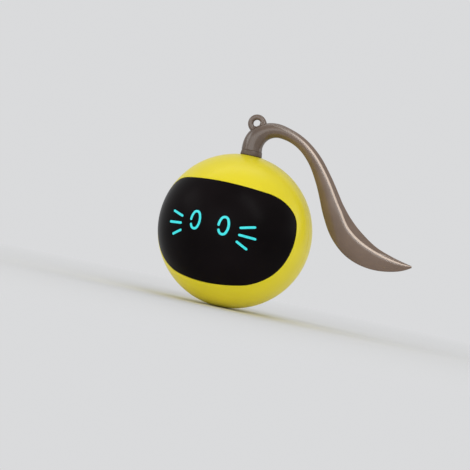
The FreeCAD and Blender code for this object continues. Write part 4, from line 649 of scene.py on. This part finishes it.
def spine(at):                          # point (x, z) and heading at each distance
    t = tail
    x, z = np.full(len(at), t["start"][0]), t["start"][1] + np.minimum(at, t["stem"])
    heading = np.full(len(at), np.pi / 2)
    left = np.maximum(at - t["stem"], 0)
    for number, (radius, degrees) in enumerate(t["arcs"]):
        sign = np.sign(degrees)
        longest = np.inf if number == len(t["arcs"]) - 1 else np.radians(abs(degrees))
        part = np.minimum(left / radius, longest)
        turned = heading + sign * part
        x = x + sign * radius * (np.sin(turned) - np.sin(heading))
        z = z - sign * radius * (np.cos(turned) - np.cos(heading))
        heading, left = turned, left - part * radius
    return x, z, heading


def throughThree(a, b, c, share):       # points of the arc through three points, for every station at once
    (ax, ay), (bx, by), (cx, cy) = a.T, b.T, c.T
    aa, bb, cc = [(p ** 2).sum(axis=-1) for p in (a, b, c)]
    d = 2 * (ax * (by - cy) + bx * (cy - ay) + cx * (ay - by))
    d = np.where(np.abs(d) < tiny, tiny, d)
    centre = np.column_stack(((aa * (by - cy) + bb * (cy - ay) + cc * (ay - by)) / d,
                              (aa * (cx - bx) + bb * (ax - cx) + cc * (bx - ax)) / d))
    angles = [np.arctan2(*(p - centre).T[::-1]) for p in (a, b, c)]
    wrap = 2 * np.pi
    whole = (angles[2] - angles[0]) % wrap
    middle = (angles[1] - angles[0]) % wrap
    sweep = np.where(middle <= whole, whole, whole - wrap)
    turn = angles[0][:, None] + sweep[:, None] * share
    radius = np.hypot(*(a - centre).T)[:, None]
    return np.stack((centre[:, :1] + radius * np.cos(turn), centre[:, 1:] + radius * np.sin(turn)), axis=-1)


def tailRings():                        # at each station an upper half of five arcs, and its mirror image
    t, s, c = tail, tailSections, tailOutline
    at = np.concatenate((t["baseStations"], np.linspace(t["firstStation"], s[-1, 0], t["stations"])))
    width, deep, leaf, crease, shift = [smoothTrack(at, s[:, 0], s[:, k]) for k in (1, 2, 3, 4, 5)]
    leaf = np.clip(leaf, 0, 1)
    shrink = t["baseEdge"] * (1 - np.sqrt(1 - np.clip(1 - at / t["baseEdge"], 0, 1) ** 2))
    half, deep = width / 2 - shrink, deep / 2 - shrink
    edge = np.minimum(c["edgeHalf"], c["edgeShare"] * half)
    bead = np.minimum(half / c["beadFull"], 1)
    leafPoints = dict(
        nose=(c["nose"][0] * half, c["nose"][1] * deep),
        side=(c["side"][0] * half, c["side"][1] * deep),
        foot=(crease * half - c["beadIn"] * bead, deep),
        ridge=(crease * half - c["beadLean"] * bead, deep - c["beadMiddle"] * bead),
        root=(crease * half + c["beadOut"] * bead, deep - c["beadDrop"] * bead),
        facet=((crease + 1) / 2 * half, c["facetDepth"] * deep + edge / 2),
        edge=(half - c["edgeInset"] * edge, edge))

    def place(name, sign=1):
        turn = np.radians(c["angles"][name])
        out, across = half * np.cos(turn), deep * np.sin(turn)
        leafOut, leafAcross = leafPoints[name]
        return np.column_stack((out + (leafOut - out) * leaf,
                                sign * (across + (leafAcross - across) * leaf)))

    inner, outer = np.column_stack((-half, 0 * half)), np.column_stack((half, 0 * half))
    share = np.linspace(0, 1, c["arcPoints"], endpoint=False)
    lastShare = np.linspace(0, 0.5, c["edgePoints"])
    upper = np.concatenate((
        throughThree(place("nose", -1), inner, place("nose"), 0.5 + share / 2),
        throughThree(place("nose"), place("side"), place("foot"), share),
        throughThree(place("foot"), place("ridge"), place("root"), share),
        throughThree(place("root"), place("facet"), place("edge"), share),
        throughThree(place("edge"), outer, place("edge", -1), lastShare)), axis=1)
    outline = np.concatenate((upper, upper[:, -2:0:-1] * (1, -1)), axis=1)
    outline = outline / 2 + (np.roll(outline, 1, axis=1) + np.roll(outline, -1, axis=1)) / 4
    x, z, heading = spine(at)
    out = outline[..., 0] + shift[:, None]
    return at, np.stack((x[:, None] - np.sin(heading)[:, None] * out, outline[..., 1],
                         z[:, None] + np.cos(heading)[:, None] * out), axis=-1)


# Loop on top of the tail. It swells near the tail's skin, which is skinReach outside the bend of the spine.
loop = dict(x=-0.27, z=45.4, outer=3.8, hole=1.5, halfThickness=1.3, square=2.6, flare=0.28, reach=0.7,
            skinReach=3.6, count=120, profile=40)


def hangingLoop():                      # a ring with a rounded square section
    l = loop
    turn, around = turnsOf(l["count"]), turnsOf(l["profile"])
    power = 2 / l["square"]
    wide = np.sign(np.cos(around)) * np.abs(np.cos(around)) ** power
    deep = np.sign(np.sin(around)) * np.abs(np.sin(around)) ** power
    middle, halfWide = (l["outer"] + l["hole"]) / 2, (l["outer"] - l["hole"]) / 2
    bendRadius = tail["arcs"][0][0]
    bend = np.array((tail["start"][0] + bendRadius, tail["start"][1] + tail["stem"]))
    ring = (l["x"], l["z"]) + middle * onCircle(turn)
    outside = np.hypot(*(ring - bend).T) - bendRadius - l["skinReach"]
    swell = 1 + l["flare"] * np.exp(-np.maximum(outside, 0) / l["reach"])
    radius = middle + halfWide * wide[None, :] * swell[:, None]
    return np.stack((l["x"] + radius * np.cos(turn)[:, None],
                     l["halfThickness"] * deep[None, :] * swell[:, None],
                     l["z"] + radius * np.sin(turn)[:, None]), axis=-1)


def softTail():
    t = tail
    at, rings = tailRings()
    points, quads = band(rings)
    columns = rings.shape[1]
    column = np.tile(np.arange(columns), len(rings) - 1)
    low, high = t["ridgeColumns"]
    mirrored = columns - 1 - column     # counted from the other side
    # the quads of the bead get the painted highlight
    onRidgeHighlight = ((column >= low) & (column < high)) | ((mirrored >= low) & (mirrored < high))
    onRidgeHighlight &= np.repeat(at[:-1], columns) > t["ridgeFrom"]
    loopRings = hangingLoop()
    closedLoop = np.concatenate((loopRings, loopRings[:1]))
    base = rings[0]
    around = np.arctan2(base[:, 1], base[:, 0] - t["start"][0])
    bore = [np.column_stack((t["boreRadius"] * onCircle(around), np.full(len(around), level)))
            for level in (t["start"][1], t["start"][1] + t["boreDepth"])]
    for ring in bore:
        ring[:, 1] = np.minimum(ring[:, 1], t["boreFlat"])
    turn = np.radians(t["turn"])
    matrix = np.array(((np.cos(turn), -np.sin(turn), 0), (np.sin(turn), np.cos(turn), 0), (0, 0, 1)))
    parts = [(points, quads[~onRidgeHighlight]), (points, quads[onRidgeHighlight]), fan(rings[-1]), band(closedLoop)]
    parts = [(partPoints @ matrix.T, faces) for partPoints, faces in parts]
    parts += [band([base @ matrix.T, *bore]), fan(bore[-1])]
    looks = [brown, ridgeHighlightBrown]
    return makePiece("softTail", parts, "tail_piece", "tail", looks, t["sharp"], [1])


softTail()
print("tail made")


# Stage: a pale floor that fades into the backdrop, soft lamps and the photo's camera
stage = dict(radius=4.0, sides=96, rough=0.8, near=0.06, far=0.30, bounce=(0.92, 0.92, 0.92),
             floor=(0.66, 0.665, 0.67), backdrop=(0.70, 0.705, 0.715), skyLight=0.62)


def seenRays(tree):                     # 1 for rays that show the background: camera, mirror and clear ones
    path = addNode(tree, "ShaderNodeLightPath")
    last = path.outputs["Is Camera Ray"]
    for name in ("Is Glossy Ray", "Is Transmission Ray"):
        either = addNode(tree, "ShaderNodeMath", operation="MAXIMUM")
        tree.links.new(last, either.inputs[0])
        tree.links.new(path.outputs[name], either.inputs[1])
        last = either.outputs["Value"]
    return last


def floorLook():                        # the floor shows darker than it lights the ball
    s = stage
    material, tree, shader = newMaterial("paleFloor")
    shader.inputs["Roughness"].default_value = s["rough"]
    seen = seenRays(tree)
    colour = addNode(tree, "ShaderNodeMixRGB", Color1=(*s["bounce"], 1), Color2=(*s["floor"], 1))
    place = addNode(tree, "ShaderNodeTexCoord")
    far = addNode(tree, "ShaderNodeVectorMath", operation="LENGTH")
    fade = addNode(tree, "ShaderNodeMapRange", From_Min=s["near"], From_Max=s["far"])
    shows = addNode(tree, "ShaderNodeMath", operation="MULTIPLY")
    glow = addNode(tree, "ShaderNodeEmission", Color=(*s["backdrop"], 1))
    mix = addNode(tree, "ShaderNodeMixShader")
    tree.links.new(seen, colour.inputs["Fac"])
    tree.links.new(colour.outputs["Color"], shader.inputs["Base Color"])
    tree.links.new(place.outputs["Object"], far.inputs[0])
    tree.links.new(far.outputs["Value"], fade.inputs["Value"])
    tree.links.new(fade.outputs["Result"], shows.inputs[0])
    tree.links.new(seen, shows.inputs[1])
    tree.links.new(shows.outputs["Value"], mix.inputs["Fac"])
    tree.links.new(shader.outputs["BSDF"], mix.inputs[1])
    tree.links.new(glow.outputs["Emission"], mix.inputs[2])
    tree.links.new(mix.outputs["Shader"], tree.nodes["Material Output"].inputs["Surface"])
    return material


def paleFloor():
    s = stage
    ring = np.column_stack((s["radius"] * onCircle(turnsOf(s["sides"])), np.zeros(s["sides"])))
    mesh = bpy.data.meshes.new("floor")
    mesh.from_pydata(ring.tolist(), [], [list(range(s["sides"]))])
    mesh.materials.append(floorLook())
    floor = bpy.data.objects.new("floor", mesh)
    bpy.context.scene.collection.objects.link(floor)


def backdropWorld():
    s = stage
    world = bpy.data.worlds.new("studio")
    bpy.context.scene.world = world
    world.use_nodes = True
    tree = world.node_tree
    seen = addNode(tree, "ShaderNodeBackground", Color=(*s["backdrop"], 1), Strength=1.0)
    light = tree.nodes["Background"]
    light.inputs["Color"].default_value = (1, 1, 1, 1)
    light.inputs["Strength"].default_value = s["skyLight"]
    mix = addNode(tree, "ShaderNodeMixShader")
    tree.links.new(seenRays(tree), mix.inputs["Fac"])
    tree.links.new(light.outputs["Background"], mix.inputs[1])
    tree.links.new(seen.outputs["Background"], mix.inputs[2])
    tree.links.new(mix.outputs["Shader"], tree.nodes["World Output"].inputs["Surface"])


# Soft boxes, away metres from the target: the way to each, its width and height in metres, its power in
# watts, and the way that its width lies where it isn't level
lamps = dict(
    away=1.3, target=(0.01, 0, 0.032), level=(0.94, 0.342, 0),
    boxes=dict(
        frontFill=dict(way=(0.05, -0.97, 0.24), size=(1.5, 0.7), power=4.0),
        left=dict(way=(-0.80, -0.48, 0.36), size=(0.45, 0.9), power=2.6),
        right=dict(way=(0.50, -0.58, 0.64), size=(1.0, 0.16), power=4.2, lies=(-0.8, 0, 0.57)),
        top=dict(way=(-0.24, 0.18, 0.95), size=(1.2, 0.14), power=1.6),
        back=dict(way=(0.80, 0.50, 0.33), size=(0.6, 0.5), power=1.2)))


def softLamps():
    target = np.array(lamps["target"])
    for name, s in lamps["boxes"].items():
        light = bpy.data.lights.new(name, "AREA")
        light.shape, light.energy = "RECTANGLE", s["power"]
        light.size, light.size_y = s["size"]
        lamp = bpy.data.objects.new(name, light)
        bpy.context.scene.collection.objects.link(lamp)
        back = Vector(s["way"]).normalized()
        lies = Vector(s.get("lies", lamps["level"]))
        right = (lies - back * lies.dot(back)).normalized()
        turned = Matrix((right, back.cross(right), back)).transposed().to_4x4()
        lamp.matrix_world = Matrix.Translation(Vector(target) + lamps["away"] * back) @ turned


# Camera at the photo's angle. Width is what it sees at the ball's distance, and ballAbove is how far the
# ball's centre is above the picture's.
photo = dict(azimuth=20.0, roll=12.0, distance=0.9, width=0.19458, ballAbove=0.001656, clipEnd=20)


def photoCamera():
    p = photo
    turn, roll = np.radians(p["azimuth"]), np.radians(p["roll"])
    back = np.array((np.sin(turn), -np.cos(turn), 0))
    level = np.array((np.cos(turn), np.sin(turn), 0))
    right = level * np.cos(roll) + np.array((0, 0, 1)) * np.sin(roll)
    up = np.array((0, 0, 1)) * np.cos(roll) - level * np.sin(roll)
    at = np.array((0, 0, ballRadius * mm)) + back * p["distance"] - up * p["ballAbove"]
    data = bpy.data.cameras.new("photoCamera")
    data.lens = data.sensor_width * p["distance"] / p["width"]
    data.clip_end = p["clipEnd"]
    camera = bpy.data.objects.new("photoCamera", data)
    bpy.context.scene.collection.objects.link(camera)
    camera.matrix_world = Matrix(np.block([[np.column_stack((right, up, back)), at[:, None]],
                                           [np.zeros((1, 3)), np.ones((1, 1))]]).tolist())
    bpy.context.scene.camera = camera


paleFloor()
backdropWorld()
softLamps()
photoCamera()
bpy.context.scene.view_settings.view_transform = "Standard"
print("stage made")
